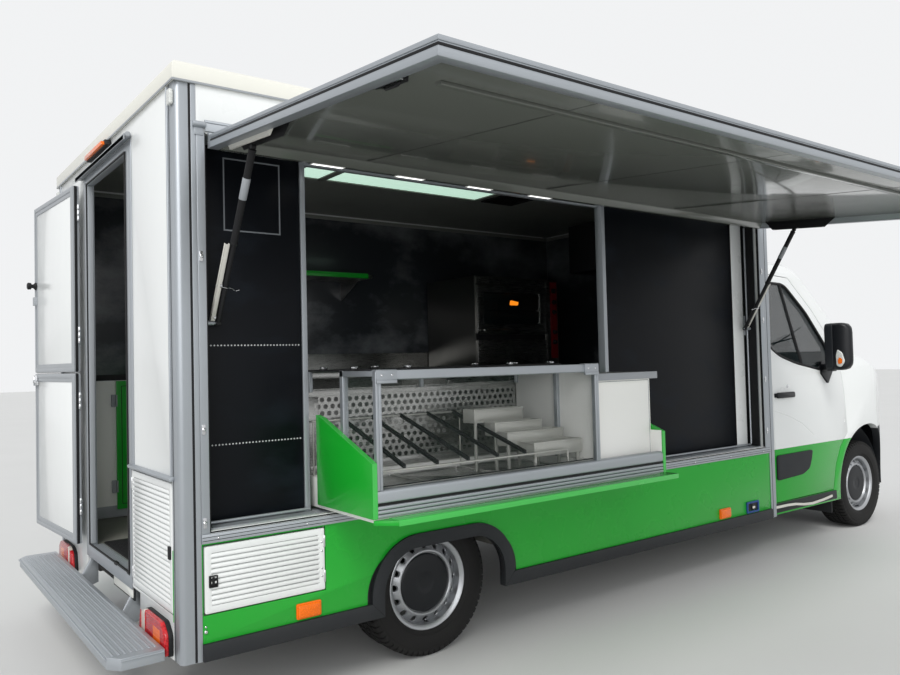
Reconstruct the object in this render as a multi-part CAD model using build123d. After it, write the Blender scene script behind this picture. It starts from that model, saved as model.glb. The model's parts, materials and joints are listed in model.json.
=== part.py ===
"""Food truck: a low-floor shop body with a lifting side awning, on a front-drive cab chassis.

Lengths are millimetres. X runs forward from the rear axle, Y to the vehicle's left and Z up from
the ground. Each node is written moved by ORIGIN, so that the whole stands on its own middle.
"""
import math
import os

from build123d import *

# Driving dimensions of the chassis and wheels
WHEELBASE = 4332
TYRE_R = 346
TYRE_HALF_W = 111
TREAD_HALF_W = 95
FLANGE_R = 222
FLANGE_HALF_W = 93
BARREL_R = 196
WHEEL_Y = 850
KINGPIN_Y = 745
AXLE_Z = TYRE_R
SPINDLE_R = 25
RAIL_Y = 400
RAIL_HALF_W = 35
RAIL_X = (-1200, 3250)
RAIL_Z = (360, 458)
NOSE_RAIL_X = (3700, 4950)
NOSE_RAIL_Z = (300, 398)
CROSS_MEMBER_X = (-1170, -640, 640, 1280, 1920, 2560, 3150, 3760, 4900)
AXLE_TUBE = (210, 290)
AXLE_TUBE_HALF = 45
ENGINE_BLOCK = ((4090, 4700), (-362, 362), (300, 960))
FUEL_TANK = ((1960, 2520), (450, 930), (250, 440))
FLOOR_UNDER_Z = 460
FLOOR_Z = 510

# Driving dimensions of the shop body
BOX_REAR_X = -1247
BOX_FRONT_X = 2850
HALF_W = 1096
WALL_T = 30
SKIRT_Z = (300, 365)
BAND_TOP_Z = 745
WALL_TOP_Z = 2540
ROOF_TOP_Z = 2610
ROOF_LIP = 9
POST_W = 82
ARCH_HALF_LEN = 415
ARCH_Z = 575
ARCH_CORNER = 190
FLARE_W = 62
TUB_HALF_LEN = 450
TUB_INNER_Y = 640
TUB_TOP_Z = 730
TUB_T = 18

# Serving hatch, awning, gas struts
HATCH_X = (-1130, 2720)
HATCH_Z = (790, 2340)
PIVOT_Y = -1104
PIVOT_Z = 2338
AWNING_X = (-1122, 2712)
AWNING_Z = (797, 2331)
AWNING_T = 50
AWNING_SKIN_T = 18
AWNING_EDGE_W = 40
AWNING_ANGLE = 84.9
BOARD_Y = -980
HATCH_POSTS_X = ((-672, -648), (1262, 1290))
FRONT_INFILL_X = (2565, 2700)
STRUT_Y = -1020
STRUT_LOW_Z = 1600
STRUT_TOP_Z = 2033
STRUT_TUBE_R = 11
STRUT_ROD_R = 5
STRUT_COVER_R = (12, 14)
STRUT_COVER_LENGTH = 375
STRUT_PIN_R = 5
STRUT_EYE_R = 5.6

# Rear door, lockers and step
DOOR_PIVOT = (-1281, 400)
DOOR_ANGLE = 176
DOOR_Z = (512, 1408, 1416, 2408)
DOORWAY_Y = (-410, 330)
DOORWAY_TOP_Z = 2400
DOOR_LEAF_X = (BOX_REAR_X - 37, BOX_REAR_X - 11)
JAMB_OUT = 4
STEP_FRONT_X = -1288
STEP_REAR_X = -1485
STEP_TOP_Z = 360

# Display counter: its green cheeks and ledge, the glazed case and the cupboard beside it
DISPLAY_X = (-640, 1130)
DISPLAY_FRONT_Y = -1500
DISPLAY_BACK_Y = -900
CHEEK_T = 20
LEDGE_Y = -1572
LEDGE_Z = (800, 820)
CASE_X = (DISPLAY_X[0] + CHEEK_T + 2, 640)
CASE_TOP_Z = 1395
CASE_TOP_BACK_Y = -1240
CASE_POST = 26
DECK_Z = 930
TRAY_Z = 862
TRAY_Y = (DISPLAY_FRONT_Y + 70, DISPLAY_BACK_Y - 30)
CUPBOARD_TOP_Z = 1312

# Kitchen
KITCHEN_X = (-700, 2700)
KITCHEN_FRONT_Y = 460
WORKTOP_Z = 1370
OVEN_X = (1440, 2300)
OVEN_Y = (430, 1040)
OVEN_Z = (WORKTOP_Z + 2, 2060)

# Cab
SEAT_Y = (430, -60, -520)
CAB_AXIS_X = 2300
CAB_HALF_W = 1035
CAB_SKIN_T = 55
CAB_LOW_Z = 290
NOSE_X = 5190
DOOR_GAP = 5
BONNET_REAR_X = 4478
BONNET_HALF_W = 740
BONNET_FOOT_Z = 985
MIRROR_OUT_Y = 1290

# Roof light and the two louvred lockers
ROOF_LIGHT_X = (-220, 1180)
ROOF_LIGHT_Y = (-190, 80)
LOCKER_SIDE_X = (-1160, -635)
LOCKER_SIDE_Z = (470, 738)
LOCKER_REAR_Y = (-1012, -446)
LOCKER_REAR_Z = (470, 982)
LOCKER_CLEAR = 6

# The origin of the written parts: the middle of the truck's own box, on the ground
OPEN_TURN = math.radians(-AWNING_ANGLE)
AWNING_OUT_Y = (PIVOT_Y + (-HALF_W - PIVOT_Y) * math.cos(OPEN_TURN)
                - (AWNING_Z[0] - PIVOT_Z) * math.sin(OPEN_TURN))
OVERALL_X = (STEP_REAR_X, NOSE_X)
OVERALL_Y = (AWNING_OUT_Y, MIRROR_OUT_Y)
ORIGIN = (-sum(OVERALL_X) / 2, -sum(OVERALL_Y) / 2, 0)


def block(x, y, z):
    """A block between the low and high values of each axis."""
    size = [high - low for low, high in (x, y, z)]
    middle = [(low + high) / 2 for low, high in (x, y, z)]
    return Pos(*middle) * Box(*size)


def side_face(points, y=0):
    return make_face(Polyline(*[(px, y, pz) for px, pz in points], close=True))


def side_plate(points, y):
    """An outline in X and Z, as thick as the two Y values say."""
    return extrude(side_face(points, y[0]), amount=y[1] - y[0], dir=(0, 1, 0))


def cross_plate(points, x):
    """An outline in Y and Z, between two X values."""
    face = make_face(Polyline(*[(x[0], py, pz) for py, pz in points], close=True))
    return extrude(face, amount=x[1] - x[0], dir=(1, 0, 0))


def plan_face(points, z=0):
    return make_face(Polyline(*[(px, py, z) for px, py in points], close=True))


def plan_plate(points, z):
    """An outline in X and Y, between two Z values."""
    return extrude(plan_face(points, z[0]), amount=z[1] - z[0], dir=(0, 0, 1))


def rod(start, end, radius):
    """A round bar between two points."""
    line = Vector(*end) - Vector(*start)
    return Plane(origin=start, z_dir=line) * extrude(Circle(radius), amount=line.length)


def ring_plate(outer_x, outer_z, inner_x, inner_z, y):
    """A flat rectangular frame in X and Z."""
    return block(outer_x, y, outer_z) - block(inner_x, y, inner_z)


def mirrored(shape):
    return mirror(shape, Plane.XZ)


def pair(shape):
    """The shape and its twin on the other side."""
    return [shape, mirrored(shape)]


def turned(shape, point, axis, angle):
    """The shape turned about a line through a point."""
    turn = Location((0, 0, 0), axis, angle)
    return Pos(*point) * turn * Pos(*[-v for v in point]) * shape


def sum_of(shapes):
    whole = shapes[0]
    for shape in shapes[1:]:
        whole = whole + shape
    return whole


NODES = {}


def node(name, *shapes):
    """Keeps a named piece; several solids that don't touch may share a name."""
    solids = [solid for shape in shapes for solid in shape.solids()]
    NODES[name] = solids


# Wheels and running gear

def wheel_form(outline):
    """Revolves an outline given in (across, radius) about the wheel's own axis."""
    points = [(0, across, radius) for across, radius in outline]
    return revolve(make_face(Polyline(*points, close=True)), axis=Axis.Y)


def tyre():
    half = [(FLANGE_HALF_W - 2, FLANGE_R), (TYRE_HALF_W, 272), (TREAD_HALF_W, TYRE_R)]
    return wheel_form(half + [(-across, radius) for across, radius in reversed(half)])


def rim():
    """Steel rim, its outer face towards +Y: barrel, pierced disc, capped centre, hub and brake disc."""
    lip = FLANGE_HALF_W
    # From the lip the outer face runs in over the pierced cone to the shoulder, the groove and the cap.
    outer_face = [(lip, FLANGE_R), (lip, 212), (80, BARREL_R), (38, BARREL_R), (66, 160), (72, 151),
                  (62, 140), (66, 0)]
    inner_face = [(46, 0), (46, 75), (54, 142), (26, BARREL_R), (-80, BARREL_R), (-lip, 212),
                  (-lip, FLANGE_R)]
    hub = [(-72, 27), (-72, 140), (-52, 140), (-52, 70), (48, 70), (48, 0), (20, 0), (20, 27)]
    vent_count, vent_r, vent_circle = 16, 17, 177
    vents = []
    for n in range(vent_count):
        hole = Pos(0, 90, vent_circle) * Rot(X=90) * extrude(RegularPolygon(vent_r, 12), amount=90)
        vents.append(Rot(Y=n * 360 / vent_count) * hole)
    return (wheel_form(outer_face + inner_face) - vents) + wheel_form(hub)


# Each wheel: its name, the axle's X, and its side, +1 on the left
WHEELS = (
    ("front_left", WHEELBASE, 1),
    ("front_right", WHEELBASE, -1),
    ("rear_left", 0, 1),
    ("rear_right", 0, -1),
)


def wheels():
    rubber, steel = tyre(), rim()
    for name, axle_x, side in WHEELS:
        place = Pos(axle_x, side * WHEEL_Y, AXLE_Z)
        facing = steel if side > 0 else Rot(Z=180) * steel
        node("tyre_" + name, place * rubber)
        node("rim_" + name, place * facing)


def knuckle():
    """Left-hand upright that turns about the kingpin, drawn about the wheel's height on that pin."""
    upright = block((-45, 45), (-30, 20), (-106, 94)) + rod((0, 0, -145), (0, 0, -100), 22)
    top_arm = side_plate([(-28, 84), (28, 84), (20, 134), (-20, 134)], (-60, -5))
    spindle = rod((0, 10, 0), (0, WHEEL_Y + 10 - KINGPIN_Y, 0), SPINDLE_R)
    steering_arm = block((-150, -30), (-40, -15), (-46, -16))
    return Pos(WHEELBASE, KINGPIN_Y, AXLE_Z) * (upright + top_arm + spindle + steering_arm)


def rear_axle():
    """A cross tube ahead of the wheels, with trailing arms back to the spindles."""
    tube_x, tube_z = AXLE_TUBE
    half = AXLE_TUBE_HALF
    arm_y, hub_half = (660, 715), 50
    foot, top = AXLE_Z - 46, AXLE_Z + 46
    outline = [(-hub_half, foot), (-hub_half, top), (hub_half, top), (tube_x + 40, tube_z + half),
               (tube_x + 40, tube_z - half), (hub_half, foot - 8)]
    arm = side_plate(outline, arm_y) + rod((0, arm_y[1] - 15, AXLE_Z), (0, WHEEL_Y + 10, AXLE_Z), SPINDLE_R)
    tube_y = arm_y[0] + 30
    tube = block((tube_x - half, tube_x + half), (-tube_y, tube_y), (tube_z - half, tube_z + half))
    return tube + pair(arm)


def ladder_frame():
    """Level rails, the lower rails under the cab, cross members and the rear axle's brackets."""
    rail_y = (RAIL_Y - RAIL_HALF_W, RAIL_Y + RAIL_HALF_W)
    low, high = RAIL_Z
    nose_low, nose_high = NOSE_RAIL_Z
    rail = block(RAIL_X, rail_y, RAIL_Z)
    nose_rail = side_plate([(RAIL_X[1], low), (RAIL_X[1], high), (NOSE_RAIL_X[0], nose_high),
                            (NOSE_RAIL_X[1], nose_high), (NOSE_RAIL_X[1], nose_low),
                            (NOSE_RAIL_X[0], nose_low)], rail_y)
    member_half, member_rise = 30, 18
    members = []
    for x in CROSS_MEMBER_X:
        z = NOSE_RAIL_Z if x > NOSE_RAIL_X[0] else RAIL_Z
        span = (x - member_half, x + member_half)
        members.append(block(span, (-RAIL_Y, RAIL_Y), (z[0] + member_rise, z[1])))
    bracket = block((AXLE_TUBE[0] - 50, AXLE_TUBE[0] + 50), (RAIL_Y - 30, RAIL_Y + 30),
                    (AXLE_TUBE[1] + AXLE_TUBE_HALF, low + 5))
    return sum_of(pair(rail) + pair(nose_rail) + members + pair(bracket))


def front_leg():
    """Left lower arm, strut and spring with their tower, drawn about the wheel's X; fixed in this model."""
    # The arm passes below the brake disc and ends under the kingpin, inside the rim.
    rail_out = RAIL_Y + RAIL_HALF_W
    arm_z, ball_y = (172, 196), KINGPIN_Y
    arm = plan_plate([(-260, rail_out + 1), (-200, rail_out + 1), (-20, 700), (20, 700),
                      (200, rail_out + 1), (260, rail_out + 1), (40, ball_y), (-40, ball_y)], arm_z)
    hanger = block((-262, 262), (rail_out, rail_out + 31), (arm_z[0], 330))
    strut_foot, strut_top = (0, 684, 505), (0, 640, 884)
    strut = rod(strut_top, strut_foot, 22) + rod((0, 642, 870), (0, 661, 705), 58)
    tower_x, tower_y, tower_top = (-150, 150), (497, 507), 890
    tower = block(tower_x, tower_y, (RAIL_Z[0], tower_top))
    foot_plate = block(tower_x, (rail_out, tower_y[0]), (RAIL_Z[0] - 20, RAIL_Z[0] + 20))
    top_plate = block(tower_x, (tower_y[0], 720), (tower_top - 10, tower_top))
    return Pos(WHEELBASE, 0, 0) * (arm + hanger + strut + tower + foot_plate + top_plate)


def running_gear():
    for name, upright in zip(("left", "right"), pair(knuckle())):
        node("knuckle_" + name, upright)
    node("rear_axle", rear_axle())
    node("chassis_frame", ladder_frame())
    node("front_suspension", *pair(front_leg()))
    node("engine_block", block(*ENGINE_BLOCK))
    node("fuel_tank", block(*FUEL_TANK))


# Shop body

def arch_outline(grow=0, low=0):
    """The wheel opening in the side: straight foot, two round shoulders."""
    half, top = ARCH_HALF_LEN + grow - FLARE_W, ARCH_Z + grow
    opening = block((-half, half), (0, 2 * HALF_W), (low - 300, top))
    corner = ARCH_CORNER + grow
    edges = [edge for edge in opening.edges().filter_by(Axis.Y) if edge.center().Z > 0]
    return fillet(edges, radius=corner)


def shop_floor():
    """Floor board with a hollow tub over each rear wheel."""
    wall_y = HALF_W - WALL_T
    floor = block((BOX_REAR_X + WALL_T, BOX_FRONT_X - WALL_T), (-wall_y, wall_y), (FLOOR_UNDER_Z, FLOOR_Z))
    half = TUB_HALF_LEN
    tub = block((-half, half), (TUB_INNER_Y, wall_y), (FLOOR_UNDER_Z, TUB_TOP_Z))
    half -= TUB_T
    well = block((-half, half), (TUB_INNER_Y + TUB_T, wall_y), (0, TUB_TOP_Z - TUB_T))
    return (floor + pair(tub)) - pair(well)


def shop_roof():
    lip = HALF_W + ROOF_LIP
    ends = (BOX_REAR_X - ROOF_LIP, BOX_FRONT_X + ROOF_LIP)
    slab = block(ends, (-lip, lip), (WALL_TOP_Z - 10, ROOF_TOP_Z))
    slab = chamfer(slab.edges().group_by(Axis.Z)[-1], length=12)
    slab = slab - block((BOX_REAR_X, BOX_FRONT_X), (-HALF_W, HALF_W), (WALL_TOP_Z - 20, WALL_TOP_Z))
    return slab - block(ROOF_LIGHT_X, ROOF_LIGHT_Y, (WALL_TOP_Z - 20, ROOF_TOP_Z + 20))


def side_wall_blank():
    """Left-hand side wall between the posts, with its wheel opening."""
    wall = block((BOX_REAR_X + POST_W, BOX_FRONT_X - POST_W), (HALF_W - WALL_T, HALF_W),
                 (SKIRT_Z[1], WALL_TOP_Z))
    return wall - arch_outline()


def shop_walls():
    node("left_wall", side_wall_blank())
    hatch = block(HATCH_X, (-HALF_W - 50, -HALF_W + 100), HATCH_Z)
    locker = block(LOCKER_SIDE_X, (-HALF_W - 50, -HALF_W + 100), LOCKER_SIDE_Z)
    infill = block(FRONT_INFILL_X, (BOARD_Y, BOARD_Y + 12), (HATCH_Z[0], 2330))
    node("right_wall", mirrored(side_wall_blank()) - hatch - locker, infill)

    rear = block((BOX_REAR_X, BOX_REAR_X + WALL_T), (-HALF_W + POST_W, HALF_W - POST_W),
                 (SKIRT_Z[0], WALL_TOP_Z))
    doorway = block((BOX_REAR_X - 50, BOX_REAR_X + 100), (DOORWAY_Y[0] - 5, DOORWAY_Y[1] + 5),
                    (FLOOR_Z, DOORWAY_TOP_Z + 5))
    plate_bay = block((BOX_REAR_X - 50, BOX_REAR_X + 100), (-560, 430), (SKIRT_Z[0] - 50, FLOOR_UNDER_Z))
    rear_locker = block((BOX_REAR_X - 50, BOX_REAR_X + 100), LOCKER_REAR_Y, LOCKER_REAR_Z)

    front = block((BOX_FRONT_X - WALL_T, BOX_FRONT_X), (-HALF_W + POST_W, HALF_W - POST_W),
                  (FLOOR_UNDER_Z, WALL_TOP_Z))
    node("end_walls", rear - doorway - plate_bay - rear_locker, front)


def corner_post():
    """Extruded corner at the rear left: an angle with a round outer edge."""
    x, y = BOX_REAR_X, HALF_W
    angle = block((x, x + POST_W), (y - WALL_T, y), (SKIRT_Z[0], WALL_TOP_Z))
    angle = angle + block((x, x + WALL_T), (y - POST_W, y), (SKIRT_Z[0], WALL_TOP_Z))
    corner = [edge for edge in angle.edges().filter_by(Axis.Z)
              if abs(edge.center().X - x) < 1 and abs(edge.center().Y - y) < 1]
    return fillet(corner, radius=22)


def aluminium_frame():
    rear_left = corner_post()
    rear = pair(rear_left)
    middle_x = (BOX_REAR_X + BOX_FRONT_X) / 2
    front = [mirror(post, Plane.YZ.offset(middle_x)) for post in rear]
    rails = []
    for side in (1, -1):
        rail = block((BOX_REAR_X + POST_W, BOX_FRONT_X - POST_W), (HALF_W, HALF_W + 10),
                     (BAND_TOP_Z, BAND_TOP_Z + 36))
        rails.append(rail if side > 0 else mirrored(rail))
    # Frame of the rear doorway, its tread sill and the rain gutter above it.
    outer_x = (BOX_REAR_X - JAMB_OUT, BOX_REAR_X + WALL_T)
    jamb = block(outer_x, (-500, 420), (FLOOR_Z - 62, DOORWAY_TOP_Z + 46))
    jamb = jamb - block((outer_x[0] - 5, outer_x[1] + 5), DOORWAY_Y, (FLOOR_Z, DOORWAY_TOP_Z))
    jamb = jamb - block((BOX_REAR_X, outer_x[1] + 5), (-600, 520), (0, FLOOR_Z))
    wall_part = block((BOX_REAR_X, BOX_REAR_X + WALL_T), (-600, DOORWAY_Y[0] - 5), (0, 2600))
    wall_part = wall_part + block((BOX_REAR_X, BOX_REAR_X + WALL_T), (DOORWAY_Y[1] + 5, 600), (0, 2600))
    top_part = block((BOX_REAR_X, BOX_REAR_X + WALL_T), (-600, 600), (DOORWAY_TOP_Z + 5, 2600))
    jamb = jamb - wall_part - top_part - block((outer_x[0] - 5, outer_x[1] + 5), (-520, -446), (0, 995))
    gutter = cross_plate([(-500, 2452), (470, 2452), (470, 2462), (-500, 2462)],
                         (BOX_REAR_X - 34, BOX_REAR_X))
    lip = block((BOX_REAR_X - 34, BOX_REAR_X - 29), (-500, 470), (2440, 2452))
    node("body_frame", *rear, *front, *rails, jamb, gutter + lip)


def flare(side):
    """Wheel-arch trim and skirt in one black moulding, on the left for side = 1."""
    out = HALF_W + 14
    skirt = block((BOX_REAR_X + POST_W, BOX_FRONT_X - POST_W), (HALF_W - WALL_T, out), SKIRT_Z)
    outer = arch_outline(FLARE_W) & block((-600, 600), (HALF_W, out), (SKIRT_Z[0], 800))
    moulding = (skirt + outer) - arch_outline()
    moulding = moulding - block((-450, 450), (HALF_W - WALL_T - 50, HALF_W), (0, 299))
    return moulding if side > 0 else mirrored(moulding)


def black_trim():
    pieces = [flare(1), flare(-1)]
    for side in (1, -1):
        liner = Pos(WHEELBASE, 765, AXLE_Z) * Rot(X=90) * (Cylinder(480, 470) - Cylinder(472, 480))
        liner = liner & block((WHEELBASE - 600, WHEELBASE + 600), (512, 870), (500, 1000))
        liner = liner - block((WHEELBASE - 80, WHEELBASE + 80), (500, 730), (700, 1000))
        flap = block((3878, 3890), (620, 940), (165, 520))
        whole = [liner + flap]
        pieces += whole if side > 0 else [mirrored(part) for part in whole]
    node("side_skirts", *pieces)


def hatch_surround():
    reveal = ring_plate((HATCH_X[0] - 30, HATCH_X[1] + 30), (HATCH_Z[0] - 30, HATCH_Z[1] + 30),
                        HATCH_X, HATCH_Z, (-HALF_W + WALL_T, BOARD_Y + 40))
    stop = ring_plate((HATCH_X[0] - 30, HATCH_X[1] + 30), (HATCH_Z[0] - 30, HATCH_Z[1] + 30),
                      (HATCH_X[0] + 32, HATCH_X[1] - 32), (HATCH_Z[0], HATCH_Z[1] - 32),
                      (BOARD_Y + 12, BOARD_Y + 40))
    posts = [block(x, (BOARD_Y - 10, BOARD_Y + 40), (HATCH_Z[0], HATCH_Z[1]))
             for x in HATCH_POSTS_X]
    frame = reveal + stop + posts
    rail = block((HATCH_X[0], HATCH_X[1]), (-HALF_W - 10, -HALF_W), (2348, 2380))
    brackets = []
    for wall_x, turn in ((HATCH_X[0], 1), (HATCH_X[1], -1)):
        foot = (wall_x, wall_x + turn * 6)
        foot = (min(foot), max(foot))
        plate = block(foot, (STRUT_Y - 20, STRUT_Y + 20), (STRUT_LOW_Z - 70, STRUT_LOW_Z + 90))
        root = (wall_x + turn * 4, STRUT_Y, STRUT_LOW_Z)
        pin = rod(root, (wall_x + turn * 82, STRUT_Y, STRUT_LOW_Z), STRUT_PIN_R)
        head = rod(root, (wall_x + turn * 54, STRUT_Y, STRUT_LOW_Z), 9)
        brackets.append(plate + pin + head)
    node("hatch_frame", frame + brackets, rail)

    boards = []
    for x in ((HATCH_X[0] + 2, HATCH_POSTS_X[0][0]), (HATCH_POSTS_X[1][1], FRONT_INFILL_X[0]),
              (FRONT_INFILL_X[1], HATCH_X[1] - 2)):
        boards.append(block(x, (BOARD_Y, BOARD_Y + 12), (HATCH_Z[0], 2330)))
    node("menu_boards", *boards)


def opened(shape):
    """The awning's closed shape, lifted to where it stands open."""
    return turned(shape, (0, PIVOT_Y, PIVOT_Z), (1, 0, 0), -AWNING_ANGLE)


def awning():
    low, high = AWNING_Z
    edge = AWNING_EDGE_W
    skin = block((AWNING_X[0] + edge, AWNING_X[1] - edge), (-HALF_W, -HALF_W + AWNING_SKIN_T),
                 (low + edge, high - edge))
    node("awning_panel", opened(skin))
    frame = ring_plate(AWNING_X, AWNING_Z, (AWNING_X[0] + edge, AWNING_X[1] - edge),
                       (low + edge, high - edge), (-HALF_W, -HALF_W + AWNING_T))
    bead = rod((AWNING_X[0] + 2, PIVOT_Y, PIVOT_Z), (AWNING_X[1] - 2, PIVOT_Y, PIVOT_Z), 6)
    web = block((AWNING_X[0] + 2, AWNING_X[1] - 2), (PIVOT_Y - 2, -HALF_W + 2), (high - 14, PIVOT_Z))
    web = web - block((AWNING_X[0], AWNING_X[1]), (-HALF_W, -HALF_W + 50), (high, PIVOT_Z + 20))
    plates = []
    near, far, deep = PIVOT_Z - 90, PIVOT_Z - 550, -HALF_W + AWNING_T + 14
    for inner_x, turn in ((AWNING_X[0] + edge, 1), (AWNING_X[1] - edge, -1)):
        outline = [(-HALF_W + 20, near), (deep, near - 60), (deep, far + 60), (-HALF_W + 20, far)]
        span = sorted((inner_x, inner_x + turn * 4))
        plates.append(cross_plate(outline, span))
    node("awning_frame", opened(frame + bead + web + plates))


# Each strut: its name and the X span of its eye
STRUTS = (("rear", (-1068, -1050)), ("front", (2640, 2658)))


def gas_struts():
    """Built upright as with the awning closed, then leaned and drawn out to the open awning's pin."""
    pin_arm = (STRUT_Y - PIVOT_Y, STRUT_TOP_Z - PIVOT_Z)
    open_y = PIVOT_Y + pin_arm[0] * math.cos(OPEN_TURN) - pin_arm[1] * math.sin(OPEN_TURN)
    open_z = PIVOT_Z + pin_arm[0] * math.sin(OPEN_TURN) + pin_arm[1] * math.cos(OPEN_TURN)
    lean = math.degrees(math.atan2(STRUT_Y - open_y, open_z - STRUT_LOW_Z))
    drawn = math.hypot(open_y - STRUT_Y, open_z - STRUT_LOW_Z) - (STRUT_TOP_Z - STRUT_LOW_Z)
    for name, span in STRUTS:
        middle = (span[0] + span[1]) / 2
        low, top = (middle, STRUT_Y, STRUT_LOW_Z), (middle, STRUT_Y, STRUT_TOP_Z)
        eye = rod((span[0], *low[1:]), (span[1], *low[1:]), STRUT_TUBE_R)
        tube = rod((middle, STRUT_Y, STRUT_LOW_Z + 9), (middle, STRUT_Y, STRUT_TOP_Z - 40), STRUT_TUBE_R)
        bore = rod((middle, STRUT_Y, STRUT_LOW_Z + 40), (middle, STRUT_Y, STRUT_TOP_Z), STRUT_ROD_R + 0.6)
        eye_hole = rod((span[0] - 5, *low[1:]), (span[1] + 5, *low[1:]), STRUT_EYE_R)
        node("strut_tube_" + name, turned((eye + tube) - bore - eye_hole, low, (1, 0, 0), lean))
        end = rod((span[0], *top[1:]), (span[1], *top[1:]), 10)
        stem = rod((middle, STRUT_Y, STRUT_LOW_Z + 60), (middle, STRUT_Y, STRUT_TOP_Z), STRUT_ROD_R)
        # A cover on the rod slides down outside the tube as the awning shuts.
        cover_inner, cover_outer = STRUT_COVER_R
        cover_top = STRUT_TOP_Z - 14
        cover_foot = cover_top - STRUT_COVER_LENGTH
        cover = rod((middle, STRUT_Y, cover_foot), (middle, STRUT_Y, cover_top), cover_outer)
        cover = cover - rod((middle, STRUT_Y, cover_foot - 1), (middle, STRUT_Y, cover_top - 8), cover_inner)
        whole = Pos(0, 0, drawn) * (end + stem + cover)
        node("strut_rod_" + name, turned(whole, low, (1, 0, 0), lean))


def rear_door():
    """Two leaves over one another, hinged on the left, built shut and swung open."""
    hinge_x, hinge_y = DOOR_PIVOT
    leaf_x = DOOR_LEAF_X
    leaf_y = (DOORWAY_Y[0] - 3, hinge_y - 8)
    border = (46, 58)
    for name, low, high in (("lower", DOOR_Z[0], DOOR_Z[1]), ("upper", DOOR_Z[2], DOOR_Z[3])):
        hole = ((leaf_y[0] + border[0], leaf_y[1] - border[1]), (low + border[0], high - border[0]))
        whole = block(leaf_x, leaf_y, (low, high))
        frame = whole - block((leaf_x[0] - 1, leaf_x[1] + 1), *hole)
        panel = block((leaf_x[0] + 3, leaf_x[1] - 3), *hole)
        knuckles = []
        for at in (low + 150, high - 190):
            barrel = rod((hinge_x, hinge_y, at), (hinge_x, hinge_y, at + 90), 6)
            strap = block((hinge_x - 3, hinge_x + 3), (leaf_y[1] - 30, hinge_y), (at, at + 90))
            knuckles.append(barrel + strap)
        # The latch on the inner face passes inside the doorway when the leaf shuts.
        latch_z = low + 430 if name == "upper" else high - 45
        latch = block((leaf_x[1], leaf_x[1] + 16), (leaf_y[0] + 10, leaf_y[0] + 40),
                      (latch_z - 25, latch_z + 25))
        parts = [turned(shape, (hinge_x, hinge_y, 0), (0, 0, 1), -DOOR_ANGLE)
                 for shape in (frame + knuckles + latch, panel)]
        node("rear_door_" + name + "_frame", parts[0])
        node("rear_door_" + name, parts[1])


def louvred(width, height, hinge_x):
    """A locker door with sloping horizontal louvres and two hinge barrels, its outer face towards -Y."""
    depth, pitch, border, barrel_r = 22, 21, 26, 5
    leaf = block((0, width), (0, depth), (0, height))
    slots = []
    for n in range(int((height - 2 * border) / pitch)):
        z = border + n * pitch
        slot = cross_plate([(-1, z + 4), (-1, z + pitch - 2), (6, z + pitch - 2)],
                           (border, width - border))
        slots.append(slot)
    barrels = [rod((hinge_x, 0, z), (hinge_x, 0, z + 50), barrel_r) for z in (30, height - 80)]
    return (leaf - slots) + barrels


def lockers():
    outer_z = (LOCKER_SIDE_Z, LOCKER_REAR_Z)
    widths = [high - low - 2 * LOCKER_CLEAR for low, high in (LOCKER_SIDE_X, LOCKER_REAR_Y)]
    heights = [high - low - 2 * LOCKER_CLEAR for low, high in outer_z]
    place = Pos(LOCKER_SIDE_X[0] + LOCKER_CLEAR, -HALF_W, LOCKER_SIDE_Z[0] + LOCKER_CLEAR)
    node("locker_door_side", place * louvred(widths[0], heights[0], widths[0]))
    place = Pos(BOX_REAR_X, LOCKER_REAR_Y[1] - LOCKER_CLEAR, LOCKER_REAR_Z[0] + LOCKER_CLEAR) * Rot(Z=-90)
    node("locker_door_rear", place * louvred(widths[1], heights[1], 0))

    # The locker behind both doors: a bin standing on the floor in the corner.
    sheet = 18
    rear_x, front_x, wall_y, aisle_y = BOX_REAR_X + WALL_T, -655, -HALF_W + WALL_T, -420
    step_y, step_z, top_z = BOARD_Y + 45, HATCH_Z[0] - 35, 1010
    bin_form = block((rear_x, front_x), (wall_y, aisle_y), (FLOOR_Z, step_z))
    bin_form = bin_form + block((rear_x, front_x), (step_y, aisle_y), (step_z, top_z))
    hollow = block((rear_x - 1, front_x - sheet), (wall_y - 1, aisle_y - sheet),
                   (FLOOR_Z - 1, step_z - sheet))
    hollow = hollow + block((rear_x - 1, front_x - sheet), (step_y + sheet, aisle_y - sheet),
                            (FLOOR_Z - 1, top_z - sheet))
    node("corner_locker", bin_form - hollow)


def rear_step():
    """Hollow tread plate with bevelled corners and raised ribs, on two arms from the chassis rails."""
    front, rear, top = STEP_FRONT_X, STEP_REAR_X, STEP_TOP_Z
    bevel, skin, rim_depth = 40, 4, 45
    outline = [(front, -1030), (front, 1040), (rear + bevel, 1040), (rear, 990), (rear, -980),
               (rear + bevel, -1030)]
    under = [(front - 14, -1000), (front - 14, 1010), (rear + bevel + skin, 1010), (rear + 6, 984),
             (rear + 6, -974), (rear + bevel + skin, -1000)]
    tread = plan_plate(outline, (top - rim_depth, top)) - plan_plate(under, (top - rim_depth - 5, top - skin))
    rib_count, rib_pitch, rib_w, rib_rise = 8, 22, 8, 3
    ribs = []
    for n in range(rib_count):
        rib_front = front - 16 - n * rib_pitch
        ribs.append(block((rib_front - rib_w, rib_front), (-980, 985), (top - 0.5, top + rib_rise)))
    arm_t, root_x = 12, RAIL_X[0]
    arm_outline = [(root_x, 300), (root_x, 440), (root_x - 30, 440), (front + 10, top - skin),
                   (front - 150, top - skin), (front - 150, 322), (front, 270)]
    arms = [side_plate(arm_outline, (y, y + arm_t)) for y in (-RAIL_Y - 6, RAIL_Y - 6)]
    return tread + ribs + arms


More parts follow.
